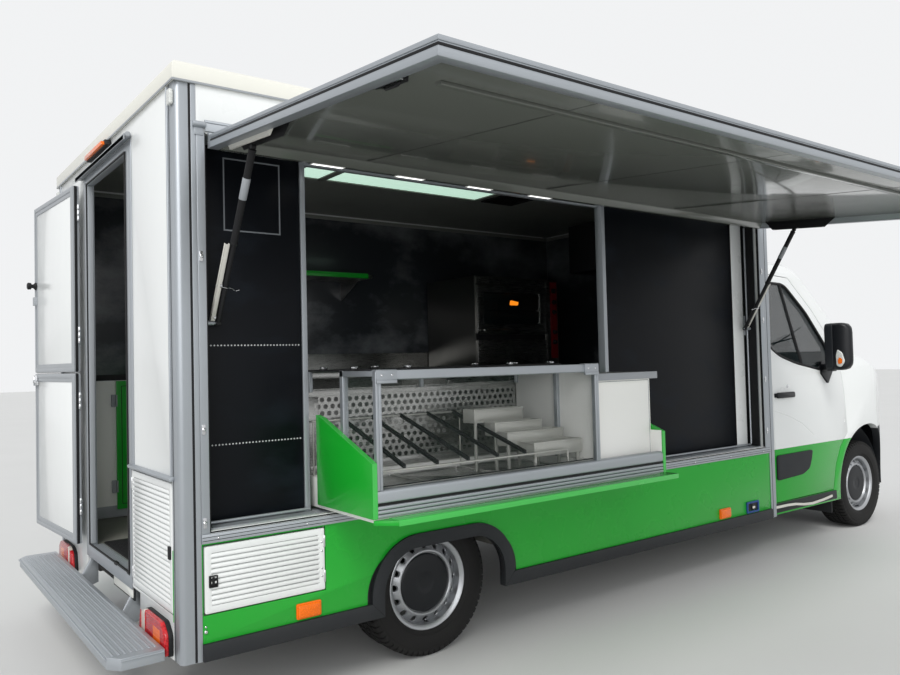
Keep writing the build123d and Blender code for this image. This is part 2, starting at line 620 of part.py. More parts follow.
def lamps():
    """Tail lamps with a cut-off upper edge, and the marker lamp over the door."""
    depth, corner_r = 34, 14
    outline = [(640, 312), (1008, 312), (1008, 398), (960, 440), (720, 440), (660, 412)]
    lamp = cross_plate(outline, (BOX_REAR_X - depth, BOX_REAR_X))
    lamp = fillet(lamp.edges().filter_by(Axis.X), radius=corner_r)
    marker = cross_plate([(-170, 2496), (230, 2496), (216, 2524), (-156, 2524)],
                         (BOX_REAR_X - depth - 10, BOX_REAR_X))
    node("tail_lamps", *pair(lamp), marker)


# Display counter

def display_cheeks():
    """Green side cheeks with sloping tops, and the ledge along the foot."""
    x_low, x_high = DISPLAY_X
    front, cheek_back, cheek_foot = DISPLAY_FRONT_Y, DISPLAY_BACK_Y - 140, 822
    outline = [(front, cheek_foot), (cheek_back, cheek_foot), (cheek_back, 1205), (-1090, 1195),
               (front, 1036)]
    cheeks = [cross_plate(outline, (x, x + CHEEK_T)) for x in (x_low, x_high - CHEEK_T)]
    ledge_corner = 74
    ledge = plan_plate([(x_low, front), (x_low + ledge_corner, LEDGE_Y), (x_high, LEDGE_Y), (x_high, front)],
                       LEDGE_Z)
    return cheeks + [ledge]


def display_cabinet():
    """White base, the sunk deck under the glass, and the cupboard with its worktop."""
    front, back = DISPLAY_FRONT_Y, DISPLAY_BACK_Y
    inner_x = (CASE_X[0], DISPLAY_X[1] - CHEEK_T - 2)
    base_z, wall = (802, 850), 30
    base = block(inner_x, (front + 22, back), base_z)
    deck = block(CASE_X, (front + 40, back), (base_z[1], DECK_Z))
    deck = deck - block((CASE_X[0] + wall, CASE_X[1] - wall), TRAY_Y, (TRAY_Z, DECK_Z + wall))
    cupboard_x, worktop_t = CASE_X[1] + 4, 30
    cupboard = block((cupboard_x, inner_x[1]), (front + 72, back), (base_z[1], CUPBOARD_TOP_Z))
    worktop = block((cupboard_x, DISPLAY_X[1] - 2), (front + 40, back),
                    (CUPBOARD_TOP_Z, CUPBOARD_TOP_Z + worktop_t))
    return base + deck + cupboard + worktop


def perforated_screen():
    """Upright sheet behind the trays, pierced by four staggered rows of six-sided holes."""
    sheet_y = DISPLAY_BACK_Y - 8
    sheet = block(CASE_X, (sheet_y, sheet_y + 4), (DECK_Z, 1300))
    rows, columns, pitch, row_rise, hole_r = 4, 33, 36, 31, 11
    first_x, first_z = CASE_X[0] + 60, 1120
    hole = Rot(X=90) * extrude(RegularPolygon(hole_r, 6), amount=20)
    holes = []
    for row in range(rows):
        for column in range(columns):
            x = first_x + (column + (row % 2) / 2) * pitch
            holes.append(Pos(x, DISPLAY_BACK_Y, first_z + row * row_rise) * hole)
    return sheet - holes


# The stepped stands on the tray: X from and to, Y from and to, top Z
STANDS = (
    (180, 420, -1180, -1080, 1120),
    (240, 500, -1260, -1180, 1075),
    (300, 560, -1340, -1260, 1030),
    (360, 600, -1420, -1340, 985),
)
DIVIDER_X = (-420, -260, -100, 60)


def case_frame():
    """Posts and rails round the glass, with the double rail along the foot."""
    front, post = DISPLAY_FRONT_Y, CASE_POST
    post_z, rail_z = (DECK_Z, CASE_TOP_Z), (CASE_TOP_Z - 25, CASE_TOP_Z)
    back_y = (CASE_TOP_BACK_Y, CASE_TOP_BACK_Y + post)
    full_x = (CASE_X[0], DISPLAY_X[1] - CHEEK_T)
    shapes = []
    for x in (CASE_X[0], CASE_X[1] - post):
        span = (x, x + post)
        shapes.append(block(span, (front, front + post), post_z))
        shapes.append(block(span, back_y, post_z))
        shapes.append(block(span, (front + post, CASE_TOP_BACK_Y), rail_z))
    shapes += [
        block(CASE_X, (front, front + 30), (CASE_TOP_Z - 35, CASE_TOP_Z)),
        block(CASE_X, back_y, rail_z),
        block(full_x, (front, front + 22), (822, 872)),
        block(full_x, (front + 4, front + 22), (872, 880)),
        block(CASE_X, (front, front + 40), (880, DECK_Z + 2)),
        block((CASE_X[1], full_x[1]), (front + 4, front + 40), (880, 926)),
    ]
    return sum_of(shapes)


def display_glass():
    """Front, left-hand end and top panes, set inside the case's posts."""
    front, post, pane_t, foot_z = DISPLAY_FRONT_Y, CASE_POST, 6, DECK_Z + 2
    pane_x = (CASE_X[0] + post, CASE_X[1] - post)
    end_x = CASE_X[0] + 10
    return [
        block(pane_x, (front + 8, front + 8 + pane_t), (foot_z, CASE_TOP_Z - 35)),
        block((end_x, end_x + pane_t), (front + 30, CASE_TOP_BACK_Y), (foot_z, CASE_TOP_Z - 25)),
        block(pane_x, (front + 30, CASE_TOP_BACK_Y), (CASE_TOP_Z - 11, CASE_TOP_Z - 11 + pane_t)),
    ]


def display():
    node("display_cheeks", *display_cheeks())
    node("display_cabinet", display_cabinet())
    stands = sum_of([block((x0, x1), (y0, y1), (TRAY_Z, top)) for x0, x1, y0, y1, top in STANDS])
    dividers = [block((x, x + 6), TRAY_Y, (TRAY_Z, DECK_Z + 20)) for x in DIVIDER_X]
    node("display_frame", case_frame(), perforated_screen(), stands, *dividers)
    node("display_glass", *display_glass())


def kitchen():
    """Fixed counters along the left wall and under the hatch, a shelf, and the deck oven."""
    wall_y = HALF_W - WALL_T
    tub_clear, niche_wall = 10, 20
    over_tub_x = (-TUB_HALF_LEN - tub_clear, TUB_HALF_LEN + tub_clear)
    over_tub_z = (0, TUB_TOP_Z + tub_clear)
    under_hatch = block((-600, 2600), (-930, -480), (FLOOR_Z, 780))
    under_hatch = under_hatch - block(over_tub_x, (-HALF_W, niche_wall - TUB_INNER_Y), over_tub_z)
    counter = block(KITCHEN_X, (KITCHEN_FRONT_Y, wall_y), (FLOOR_Z, WORKTOP_Z))
    counter = counter - block(over_tub_x, (TUB_INNER_Y - TUB_T, HALF_W), over_tub_z)
    counter = counter - block((KITCHEN_X[0] + niche_wall, 1180), (KITCHEN_FRONT_Y - niche_wall, 1040),
                              (900, WORKTOP_Z - 40))
    upstand = block(KITCHEN_X, (wall_y - niche_wall, wall_y), (WORKTOP_Z, WORKTOP_Z + 130))
    shelf = block((-500, 760), (760, wall_y), (2040, 2064))
    node("kitchen_units", counter + upstand, under_hatch, shelf)

    mouth_x, mouth_z, wall = (OVEN_X[0] + 50, OVEN_X[1] - 170), (1760, 1930), 60
    mouth = block(mouth_x, (OVEN_Y[0] - 10, OVEN_Y[1] - wall), mouth_z)
    node("oven", block(OVEN_X, OVEN_Y, OVEN_Z) - mouth)


# Cab

# Outlines of the cab. Each point has its outward direction, along which a skin's thickness is taken.
# Side profile on the centreline: X, Z, outward X, outward Z
CAB_PROFILE = (
    (CAB_AXIS_X, 2236, 0, 1),
    (3250, 2236, 0, 1),
    (3600, 2190, 0.25, 0.97),
    (3830, 2062, 0.66, 0.76),
    (4450, 1400, 0.55, 0.88),
    (4800, 1245, 0.52, 0.86),
    (5050, 1040, 0.85, 0.57),
    (5148, 860, 0.96, 0.28),
    (NOSE_X - 12, 620, 1, 0.06),
    (NOSE_X, 520, 1, 0),
    (NOSE_X - 14, 400, 1, -0.05),
    (NOSE_X - 40, -200, 1, 0),
    (CAB_AXIS_X, -200, 0, 0),
)
# Half section seen from ahead: Y, Z, outward Y, outward Z
CAB_SECTION = (
    (CAB_HALF_W, -200, 1, 0),
    (CAB_HALF_W, 1080, 1, 0.02),
    (CAB_HALF_W - 14, 1290, 0.99, 0.12),
    (CAB_HALF_W - 52, 1500, 0.98, 0.2),
    (CAB_HALF_W - 138, 1960, 0.97, 0.25),
    (CAB_HALF_W - 178, 2068, 0.85, 0.52),
    (CAB_HALF_W - 262, 2128, 0.4, 0.93),
    (430, 2188, 0.1, 0.99),
    (0, 2206, 0, 1),
)
# Half plan: X, Y, outward X, outward Y
CAB_PLAN = (
    (CAB_AXIS_X, CAB_HALF_W, 0, 1),
    (4250, CAB_HALF_W, 0.04, 1),
    (4720, 945, 0.34, 0.94),
    (5060, 700, 0.7, 0.72),
    (5300, 380, 0.8, 0.6),
)


def drawn_in(table, inset):
    return [(a - inset * out_a, b - inset * out_b) for a, b, out_a, out_b in table]


def joined(points, spans):
    """Edges through the points: each span is a straight run of 2 points or an arc of 3."""
    edges, at = [], 0
    for size in spans:
        run = points[at:at + size]
        edges.append(Line(*run) if size == 2 else ThreePointArc(*run))
        at += size - 1
    return edges


def cab_form(inset):
    """The cab's outer form, drawn in by inset: a profile swept about a far axis, so that windscreen
    and nose bow, crossed with the section seen from ahead and with the rounded plan."""
    profile = [(x, 0, z) for x, z in drawn_in(CAB_PROFILE, inset)]
    edges = joined(profile + profile[:1], (2, 3, 2, 3, 3, 3, 2, 2, 2))
    swept = revolve(Face(Wire(edges)), axis=Axis((CAB_AXIS_X, 0, 0), (0, 0, 1)))

    half = drawn_in(CAB_SECTION, inset)
    right = [(CAB_AXIS_X, y, z) for y, z in half]
    left = [(CAB_AXIS_X, -y, z) for y, z in reversed(half)]
    edges = joined(right, (2, 3, 2, 3, 3)) + joined(left, (3, 3, 2, 3, 2)) + [Line(left[-1], right[0])]
    across = extrude(Face(Wire(edges)), amount=3500, dir=(1, 0, 0))

    half = drawn_in(CAB_PLAN, inset)
    left = [(x, y, -300) for x, y in half]
    right = [(x, -y, -300) for x, y in reversed(half)]
    edges = joined(left, (2, 3, 2)) + [Line(left[-1], right[0])] + joined(right, (2, 3, 2))
    edges.append(Line(right[-1], left[0]))
    upright = extrude(Face(Wire(edges)), amount=2800, dir=(0, 0, 1))
    return swept & across & upright


def inset_face(face, amount):
    return offset(face, amount=-amount, kind=Kind.INTERSECTION).faces()[0]


def arch_round(radius):
    return Pos(WHEELBASE, 0, AXLE_Z) * Rot(X=90) * Cylinder(radius, 2600)


# Cab door and its window, in X and Z
DOOR_OUTLINE = [(2945, 370), (3740, 370), (3790, 560), (3870, 690), (3990, 790), (3935, 1310),
                (3935, 1440), (3690, 1760), (3440, 2000), (2945, 2030)]
WINDOW_OUTLINE = [(2985, 1480), (2985, 1955), (3370, 1945), (3600, 1735), (3800, 1460), (3800, 1350),
                  (3660, 1290), (3300, 1350), (3090, 1410)]
LEFT_SIDE = (600, 1200)


def cab_panels():
    outer, inner = cab_form(0), cab_form(CAB_SKIN_T)
    glass_skin = cab_form(10) - cab_form(16)
    skin = outer - inner
    room = block((BOX_FRONT_X, 5400), (-1200, 1200), (CAB_LOW_Z, 2400))
    skin = skin & room
    glass_skin = glass_skin & room
    skin = skin - arch_round(492)

    door_cut = side_plate(DOOR_OUTLINE, LEFT_SIDE)
    door_face = inset_face(side_face(DOOR_OUTLINE, LEFT_SIDE[0]), DOOR_GAP)
    door_form = extrude(door_face, amount=LEFT_SIDE[1] - LEFT_SIDE[0], dir=(0, 1, 0))
    window = side_plate(WINDOW_OUTLINE, LEFT_SIDE)
    door = (skin & door_form) - window
    pane = glass_skin & window
    node("door_left", door)
    node("door_right", mirrored(door))
    node("door_glass_left", pane)
    node("door_glass_right", mirrored(pane))

    screen_cut = cross_plate([(-850, 1425), (850, 1425), (745, 2040), (-745, 2040)], (3350, 4700))
    node("windscreen", glass_skin & screen_cut)

    # The bonnet's sides run straight ahead, so that it lifts clear of the wings.
    rear_x, half_w, foot_z = BONNET_REAR_X, BONNET_HALF_W, BONNET_FOOT_Z
    bonnet_cut = block((rear_x, NOSE_X + 100), (-half_w, half_w), (foot_z, 1500))
    gap = DOOR_GAP
    bonnet_form = block((rear_x + gap, NOSE_X + 100), (gap - half_w, half_w - gap), (foot_z + gap, 1500))
    node("bonnet", skin & bonnet_form)

    bumper_cut = block((4560, 5400), (-1200, 1200), (0, 800))
    lamp_cut = [plan_plate([(4700, 560 * s), (4700, 1100 * s), (5400, 1100 * s), (5400, 560 * s)],
                           (820, 984)) for s in (1, -1)]
    grille_cut = block((4900, 5400), (-555, 555), (800, 984))
    node("front_bumper", skin & (bumper_cut + grille_cut))
    node("headlamps", skin & lamp_cut[0], skin & lamp_cut[1])

    shell = skin - door_cut - mirrored(door_cut) - screen_cut - bonnet_cut - bumper_cut - grille_cut
    shell = shell - lamp_cut
    node("cab_shell", shell)


def mirrors():
    """Door mirrors: a rounded head on an arm that is cut to the door's own form."""
    arm = plan_plate([(3700, 1010), (3760, 1010), (3640, 1120), (3580, 1120)], (1290, 1330))
    head_y, corner_r, nose = (1100, MIRROR_OUT_Y), 45, 22
    head = block((3540, 3640), head_y, (1290, 1640))
    head = fillet(head.edges().filter_by(Axis.X), radius=corner_r)
    head = chamfer(head.faces().sort_by(Axis.X)[-1].edges(), length=nose)
    for name, mirror_head in zip(("left", "right"), pair((head + arm) - cab_form(0))):
        node("mirror_" + name, mirror_head)


def cab_inside():
    """Floor, firewall, dashboard and steering wheel, and three seats."""
    floor_z, bulkhead_x, half_w = (560, 600), 3850, 880
    floor = block((BOX_FRONT_X, bulkhead_x), (-half_w - 20, half_w + 20), floor_z)
    firewall = block((bulkhead_x, bulkhead_x + 30), (-half_w, half_w), (floor_z[0], 1330))
    dash = side_plate([(3600, 1050), (3560, 1200), (3620, 1320), (bulkhead_x, 1330), (bulkhead_x, 900),
                       (3700, 900)], (-half_w, half_w))
    driver_y, wheel_x, wheel_z, wheel_r = SEAT_Y[0], 3480, 1180, 180
    steering = Torus(wheel_r, 14) + Box(2 * wheel_r - 16, 40, 14) + Cylinder(50, 20)
    steering = Pos(wheel_x, driver_y, wheel_z) * Rot(Y=-62) * steering
    column = rod((wheel_x, driver_y, wheel_z), (wheel_x + 160, driver_y, wheel_z - 60), 24)
    node("cab_inside", floor + firewall + dash + column + steering)

    cushion_z, half_seat = (860, 1000), 220
    seats = []
    for y in SEAT_Y:
        base = block((3010, 3400), (y - half_seat + 5, y + half_seat - 5), (floor_z[1], cushion_z[0]))
        cushion = block((2960, 3450), (y - half_seat - 5, y + half_seat + 5), cushion_z)
        cushion = fillet(cushion.edges().filter_by(Axis.Y), radius=35)
        back = side_plate([(2900, 990), (3020, 990), (2970, 1600), (2872, 1600)],
                          (y - half_seat, y + half_seat))
        head = block((2872, 2950), (y - 120, y + 120), (1600, 1790))
        seats.append(base + cushion + back + head)
    node("cab_seats", *seats)


def roof_light():
    return block(ROOF_LIGHT_X, ROOF_LIGHT_Y, (WALL_TOP_Z - 4, ROOF_TOP_Z + 14))


def build():
    wheels()
    running_gear()
    node("box_floor", shop_floor())
    node("box_roof", shop_roof())
    shop_walls()
    aluminium_frame()
    black_trim()
    hatch_surround()
    awning()
    gas_struts()
    rear_door()
    lockers()
    node("rear_step", rear_step())
    lamps()
    display()
    kitchen()
    cab_panels()
    mirrors()
    cab_inside()
    node("roof_light", roof_light())


def write():
    os.makedirs("parts", exist_ok=True)
    for name, solids in NODES.items():
        moved = [Pos(*ORIGIN) * solid for solid in solids]
        shape = moved[0] if len(moved) == 1 else Compound(children=moved)
        export_step(shape, os.path.join("parts", name + ".step"))


build()
write()
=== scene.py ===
import json
import math

import bmesh
import bpy
from mathutils import Matrix, Vector

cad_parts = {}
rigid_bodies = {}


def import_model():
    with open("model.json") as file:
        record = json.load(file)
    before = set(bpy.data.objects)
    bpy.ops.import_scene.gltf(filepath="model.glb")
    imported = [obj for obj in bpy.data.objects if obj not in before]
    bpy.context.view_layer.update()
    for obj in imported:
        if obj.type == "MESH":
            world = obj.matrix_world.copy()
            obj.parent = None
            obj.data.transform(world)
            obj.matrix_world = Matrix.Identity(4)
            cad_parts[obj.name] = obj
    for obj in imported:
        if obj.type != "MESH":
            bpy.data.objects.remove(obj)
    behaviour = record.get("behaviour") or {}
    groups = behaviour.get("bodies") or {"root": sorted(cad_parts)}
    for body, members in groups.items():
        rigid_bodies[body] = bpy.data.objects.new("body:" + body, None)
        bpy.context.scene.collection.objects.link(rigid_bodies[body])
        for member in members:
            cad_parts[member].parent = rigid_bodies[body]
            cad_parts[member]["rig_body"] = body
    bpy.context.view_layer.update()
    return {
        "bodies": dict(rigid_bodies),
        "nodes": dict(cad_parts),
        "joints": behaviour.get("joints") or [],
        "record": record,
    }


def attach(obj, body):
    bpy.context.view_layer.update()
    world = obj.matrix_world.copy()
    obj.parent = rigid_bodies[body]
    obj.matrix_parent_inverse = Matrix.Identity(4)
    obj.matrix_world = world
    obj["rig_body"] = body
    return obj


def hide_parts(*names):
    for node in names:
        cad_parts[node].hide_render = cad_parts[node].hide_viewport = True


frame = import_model()

# Sizes below are in millimetres from the rear axle: X forward, Y left, Z up from the ground.
REAR_WHEEL = next(j for j in frame["joints"] if j["name"] == "wheel_rear_left_spin")["pos_m"]
SHIFT = Vector((REAR_WHEEL[0], REAR_WHEEL[1] - 0.850, 0))
AXLE_Z = 346
WHEELBASE = 4332
TRACK_Y = 850
BOX_REAR_X, BOX_FRONT_X, HALF_W = -1247, 2850, 1096
BAND_FRONT_X, BAND_TOP_Z, WALL_TOP_Z, ROOF_TOP_Z = 4060, 745, 2540, 2610
POST_W, WALL_T, FLOOR_Z = 82, 30, 510
HATCH_X, HATCH_Z, BOARD_Y = (-1130, 2720), (790, 2340), -980
PIVOT_Y, PIVOT_Z, AWNING_TURN = -1104, 2338, math.radians(-84.9)
AWNING_X, AWNING_Z, AWNING_T, AWNING_EDGE_W = (-1122, 2712), (797, 2331), 50, 40
DOOR_PIVOT, DOOR_TURN = (-1281, 400), math.radians(-176)
STRUT_X, STRUT_Y, STRUT_LOW_Z, STRUT_TOP_Z = (-1059, 2649), -1020, 1600, 2033
LOCKER_SIDE_X, LOCKER_SIDE_Z = (-1160, -635), (470, 738)
LOCKER_REAR_Y, LOCKER_REAR_Z, LOCKER_CLEAR = (-1012, -446), (470, 982), 6
DISPLAY_X, DISPLAY_FRONT_Y, DISPLAY_BACK_Y = (-640, 1130), -1500, -900
CASE_X, CASE_TOP_Z, CASE_TOP_BACK_Y, DECK_Z, TRAY_Z = (-618, 640), 1395, -1240, 930, 862
OVEN_X, OVEN_FRONT_Y, OVEN_Z = (1440, 2300), 430, (1372, 2060)
INSIDE_X, ROOF_LIGHT_X, ROOF_LIGHT_Y = (-1205, 2806), (-236, 1196), (-206, 96)
CAB_HALF_W, NOSE_X = 1035, 5190


def at(x, y, z):
    return Vector((x, y, z)) / 1000 + SHIFT


def turned(a, b, centre, angle):
    """A point in a plane, turned about a centre."""
    a, b = a - centre[0], b - centre[1]
    return (centre[0] + a * math.cos(angle) - b * math.sin(angle),
        centre[1] + a * math.sin(angle) + b * math.cos(angle))


def on_awning(x, y, z):
    """A place on the shut awning, lifted with it."""
    return at(x, *turned(y, z, (PIVOT_Y, PIVOT_Z), AWNING_TURN))


def on_rear_door(x, y, z):
    """A place on the shut rear door, swung out with it."""
    return at(*turned(x, y, DOOR_PIVOT, DOOR_TURN), z)


def on_side_locker(x, y, z):
    return at(LOCKER_SIDE_X[0] + LOCKER_CLEAR + x, y - HALF_W, LOCKER_SIDE_Z[0] + LOCKER_CLEAR + z)


def on_rear_locker(x, y, z):
    return at(BOX_REAR_X + y, LOCKER_REAR_Y[1] - LOCKER_CLEAR - x, LOCKER_REAR_Z[0] + LOCKER_CLEAR + z)


def srgb(*shades):
    """A colour read off a screen, as the light it gives back."""
    return tuple(((s / 255 + 0.055) / 1.055) ** 2.4 if s > 10 else s / 255 / 12.92 for s in shades)


# Node trees

class Value:
    """A socket in a tree. Arithmetic on it adds the Math nodes."""

    def __init__(self, tree, socket):
        self.tree, self.socket = tree, socket

    def maths(self, operation, *others):
        return self.tree.add("ShaderNodeMath", {"operation": operation}, dict(enumerate((self, *others))))

    def __add__(self, other):
        return self.maths("ADD", other)

    def __mul__(self, other):
        return self.maths("MULTIPLY", other)

    def __sub__(self, other):
        return self.maths("SUBTRACT", other)

    def __rsub__(self, other):
        return self.tree.add("ShaderNodeMath", {"operation": "SUBTRACT"}, {0: other, 1: self})

    def __truediv__(self, other):
        return self.maths("DIVIDE", other)

    def __pow__(self, other):
        return self.maths("POWER", other)

    def __gt__(self, other):
        return self.maths("GREATER_THAN", other)

    def __lt__(self, other):
        return self.maths("LESS_THAN", other)

    __radd__ = __add__
    __rmul__ = __mul__

    def clamped(self):
        return self.maths("MAXIMUM", 0).maths("MINIMUM", 1)


class Tree:
    """Adds the nodes of a tree, with their settings first and then their sockets."""

    def add(self, kind, settings=None, sockets=None, output=0):
        node = self.nodes.nodes.new(kind)
        for name, value in (settings or {}).items():
            setattr(node, name, value)
        for name, value in (sockets or {}).items():
            if isinstance(value, Value):
                self.nodes.links.new(value.socket, node.inputs[name])
            else:
                node.inputs[name].default_value = value
        return Value(self, node.outputs[output] if node.outputs else None)


class Finish(Tree):
    """A material with its Principled shader."""

    def __init__(self, name, **fixed):
        self.material = bpy.data.materials.new(name)
        self.material.use_nodes = True
        self.nodes = self.material.node_tree
        self.shader = next(n for n in self.nodes.nodes if n.type == "BSDF_PRINCIPLED")
        self.place = self.add("ShaderNodeTexCoord", output="Object")
        for socket, value in fixed.items():
            self.shader.inputs[socket.replace("_", " ")].default_value = value

    def feed(self, name, value):
        self.nodes.links.new(value.socket, self.shader.inputs[name])

    def noise(self, scale, detail=3, stretch=None, rough=0.5):
        where = self.add("ShaderNodeMapping", {},
            {"Vector": self.place, "Scale": stretch}) if stretch else self.place
        return self.add("ShaderNodeTexNoise", {}, {"Vector": where, "Scale": scale, "Detail": detail,
            "Roughness": rough})

    def axis(self, name):
        return self.add("ShaderNodeSeparateXYZ", {}, {0: self.place}, output=name)

    def mix(self, factor, low, high):
        low = (*low, 1) if isinstance(low, tuple) else low
        high = (*high, 1) if isinstance(high, tuple) else high
        return self.add("ShaderNodeMix", {"data_type": "RGBA"}, {0: factor, 6: low, 7: high}, output=2)

    def clouded(self, clouds, colour, share):
        """A colour a little darker and lighter by turns."""
        return self.mix(clouds, shaded(colour, 1 - share), shaded(colour, 1 + share))

    def dirtied(self, colour, share, top_z):
        """The colour with streaks of road dirt, thicker towards the ground."""
        low = ((top_z - self.axis("Z")) * 1.6).clamped()
        streaks = self.noise(5, 6, stretch=(1, 1, 0.25))
        return self.mix((low * streaks * share).clamped(), colour, DIRT)

    def bump(self, height, strength, distance=0.001):
        self.feed("Normal",
            self.add("ShaderNodeBump", {}, {"Height": height, "Strength": strength, "Distance": distance}))


class Pattern(Tree):
    """Geometry Nodes that repeat a small form. Inputs are set by name each time."""

    def __init__(self, name, inputs):
        self.nodes = bpy.data.node_groups.new(name, "GeometryNodeTree")
        sockets = self.nodes.interface
        sockets.new_socket("Form", in_out="INPUT", socket_type="NodeSocketGeometry")
        self.keys = {}
        for label, kind in {**inputs, "Weld": "Float", "Finish": "Material"}.items():
            socket = sockets.new_socket(label, in_out="INPUT", socket_type="NodeSocket" + kind)
            self.keys[label] = socket.identifier
        sockets.new_socket("Form", in_out="OUTPUT", socket_type="NodeSocketGeometry")
        self.group = self.nodes.nodes.new("NodeGroupInput")

    def given(self, label):
        return Value(self, self.group.outputs[label])

    def scaled(self, vector, number):
        return self.add("ShaderNodeVectorMath", {"operation": "SCALE"}, {0: vector, "Scale": number})

    def together(self, one, two):
        return self.add("ShaderNodeVectorMath", {"operation": "ADD"}, {0: one, 1: two})

    def spots(self, count):
        return self.add("GeometryNodeMeshLine", {"mode": "OFFSET"}, {"Count": count, "Offset": (0, 0, 0)})

    def ends(self, instances, move=None):
        form = self.add("GeometryNodeRealizeInstances", {}, {0: instances})
        if move:
            form = self.add("GeometryNodeTransform", {}, {"Geometry": form, "Translation": move})
        form = self.add("GeometryNodeMergeByDistance", {}, {"Geometry": form, "Distance": self.given("Weld")})
        form = self.add("GeometryNodeSetMaterial", {}, {"Geometry": form, "Material": self.given("Finish")})
        self.nodes.links.new(form.socket, self.nodes.nodes.new("NodeGroupOutput").inputs[0])

    def made(self, form, name, finish, body, values, weld=0.0, **look):
        thing = bpy.data.objects.new(name, form.mesh_now(name))
        bpy.context.scene.collection.objects.link(thing)
        modifier = thing.modifiers.new(name, "NODES")
        modifier.node_group = self.nodes
        for label, value in {**values, "Weld": weld / 1000, "Finish": finish}.items():
            modifier[self.keys[label]] = value
        mesh = plain(thing)
        bpy.data.objects.remove(thing)
        return shown(name, mesh, finish, body, **look)


def rows_pattern():
    """Copies in rows and columns, with every other row moved along."""
    pattern = Pattern("rows_and_columns", {"Columns": "Int", "Rows": "Int", "Column Step": "Vector",
        "Row Step": "Vector", "Odd Shift": "Vector"})
    index = pattern.add("GeometryNodeInputIndex")
    columns = pattern.given("Columns")
    row = ((index + 0.5) / columns).maths("FLOOR")
    column = index - row * columns
    step = pattern.together(pattern.scaled(pattern.given("Column Step"), column),
        pattern.scaled(pattern.given("Row Step"), row))
    step = pattern.together(step, pattern.scaled(pattern.given("Odd Shift"), row.maths("FLOORED_MODULO", 2)))
    spots = pattern.add("GeometryNodeSetPosition", {},
        {"Geometry": pattern.spots(columns * pattern.given("Rows")), "Offset": step})
    pattern.ends(pattern.add("GeometryNodeInstanceOnPoints", {},
        {"Points": spots, "Instance": pattern.given("Form")}))
    return pattern


def ring_pattern():
    """Copies turned about an axis through a centre."""
    pattern = Pattern("ring", {"Count": "Int", "Centre": "Vector", "Back": "Vector", "Axis": "Vector"})
    count = pattern.given("Count")
    unit = pattern.add("GeometryNodeTransform", {},
        {"Geometry": pattern.given("Form"), "Translation": pattern.given("Back")})
    angle = pattern.add("GeometryNodeInputIndex") * (2 * math.pi) / count
    turn = pattern.add("FunctionNodeAxisAngleToRotation", {}, {"Axis": pattern.given("Axis"), "Angle": angle})
    ring = pattern.add("GeometryNodeInstanceOnPoints", {}, {"Points": pattern.spots(count), "Instance": unit,
        "Rotation": turn})
    pattern.ends(ring, move=pattern.given("Centre"))
    return pattern


ROWS, RING = rows_pattern(), ring_pattern()


def in_rows(form, name, finish, body="chassis", columns=1, rows=1, across=(0, 0, 0), up=(0, 0, 0),
        shift=(0, 0, 0), **look):
    """The form repeated columns times by the step across, and rows times by the step up."""
    steps = [form.place(*step) - form.place(0, 0, 0) for step in (across, up, shift)]
    values = dict(zip(("Column Step", "Row Step", "Odd Shift"), steps))
    return ROWS.made(form, name, finish, body, {"Columns": columns, "Rows": rows, **values}, **look)


def in_ring(form, name, finish, body, count, centre, axis=(0, 1, 0), **look):
    middle = form.place(*centre)
    values = {"Count": count, "Centre": middle, "Back": -middle, "Axis": Vector(axis)}
    return RING.made(form, name, finish, body, values, **look)


# Finishes

def shaded(colour, share):
    return tuple(min(1, c * share) for c in colour)


def painted(name, colour, roughness=0.3, coat=0.0, cloud=0.05, grain=0.0, grain_scale=900, dirt=0.0,
        metallic=0.0):
    """An even finish with faint clouds in its colour, a fine grain and road dirt near the ground."""
    finish = Finish(name, Coat_Weight=coat * 0.4, Coat_Roughness=0.06, Metallic=metallic,
        Specular_IOR_Level=0.3)
    skin = finish.clouded(finish.noise(1.3, 4), colour, cloud)
    finish.feed("Base Color", finish.dirtied(skin, dirt, 0.75) if dirt else skin)
    finish.feed("Roughness", (finish.noise(7, 4) - 0.5) * 0.12 + roughness)
    if grain:
        finish.bump(finish.noise(grain_scale, 2), grain, 0.0004)
    return finish.material


def brushed(name, colour, roughness=0.32, along="X", scratch=0.12, metallic=1.0):
    """Metal with fine lines along one axis."""
    finish = Finish(name, Metallic=metallic)
    stretch = {"X": (1, 60, 60), "Y": (60, 1, 60), "Z": (60, 60, 1)}[along]
    lines = finish.noise(14, 5, stretch=stretch, rough=0.65)
    clouds = finish.noise(2.2, 4)
    finish.feed("Base Color", finish.mix(lines * 0.6 + clouds * 0.4, shaded(colour, 0.84),
        shaded(colour, 1.08)))
    finish.feed("Roughness", (lines - 0.5) * 0.3 + (clouds - 0.5) * 0.15 + roughness)
    finish.bump(lines, scratch, 0.0003)
    return finish.material


def glazed(name, colour, clearness, roughness=0.02):
    """Thin glass: clear seen square on, and a mirror at a slant."""
    finish = Finish(name, Roughness=roughness, IOR=1.5)
    facing = finish.add("ShaderNodeLayerWeight", {}, {"Blend": 0.35}, output="Facing")
    smears = finish.noise(3, 5)
    finish.feed("Base Color", finish.clouded(smears, colour, 0.1))
    finish.feed("Alpha", (facing ** 3 * clearness + (1 - clearness) + smears * 0.02).clamped())
    return finish.material


def glowing(name, colour, strength, base=(0.9, 0.95, 0.92)):
    """A lit panel, a little uneven."""
    finish = Finish(name, Roughness=0.35, Emission_Strength=strength)
    clouds = finish.noise(3, 3)
    finish.feed("Base Color", finish.mix(clouds, shaded(base, 0.95), base))
    finish.feed("Emission Color", finish.mix(clouds, shaded(colour, 0.9), colour))
    return finish.material


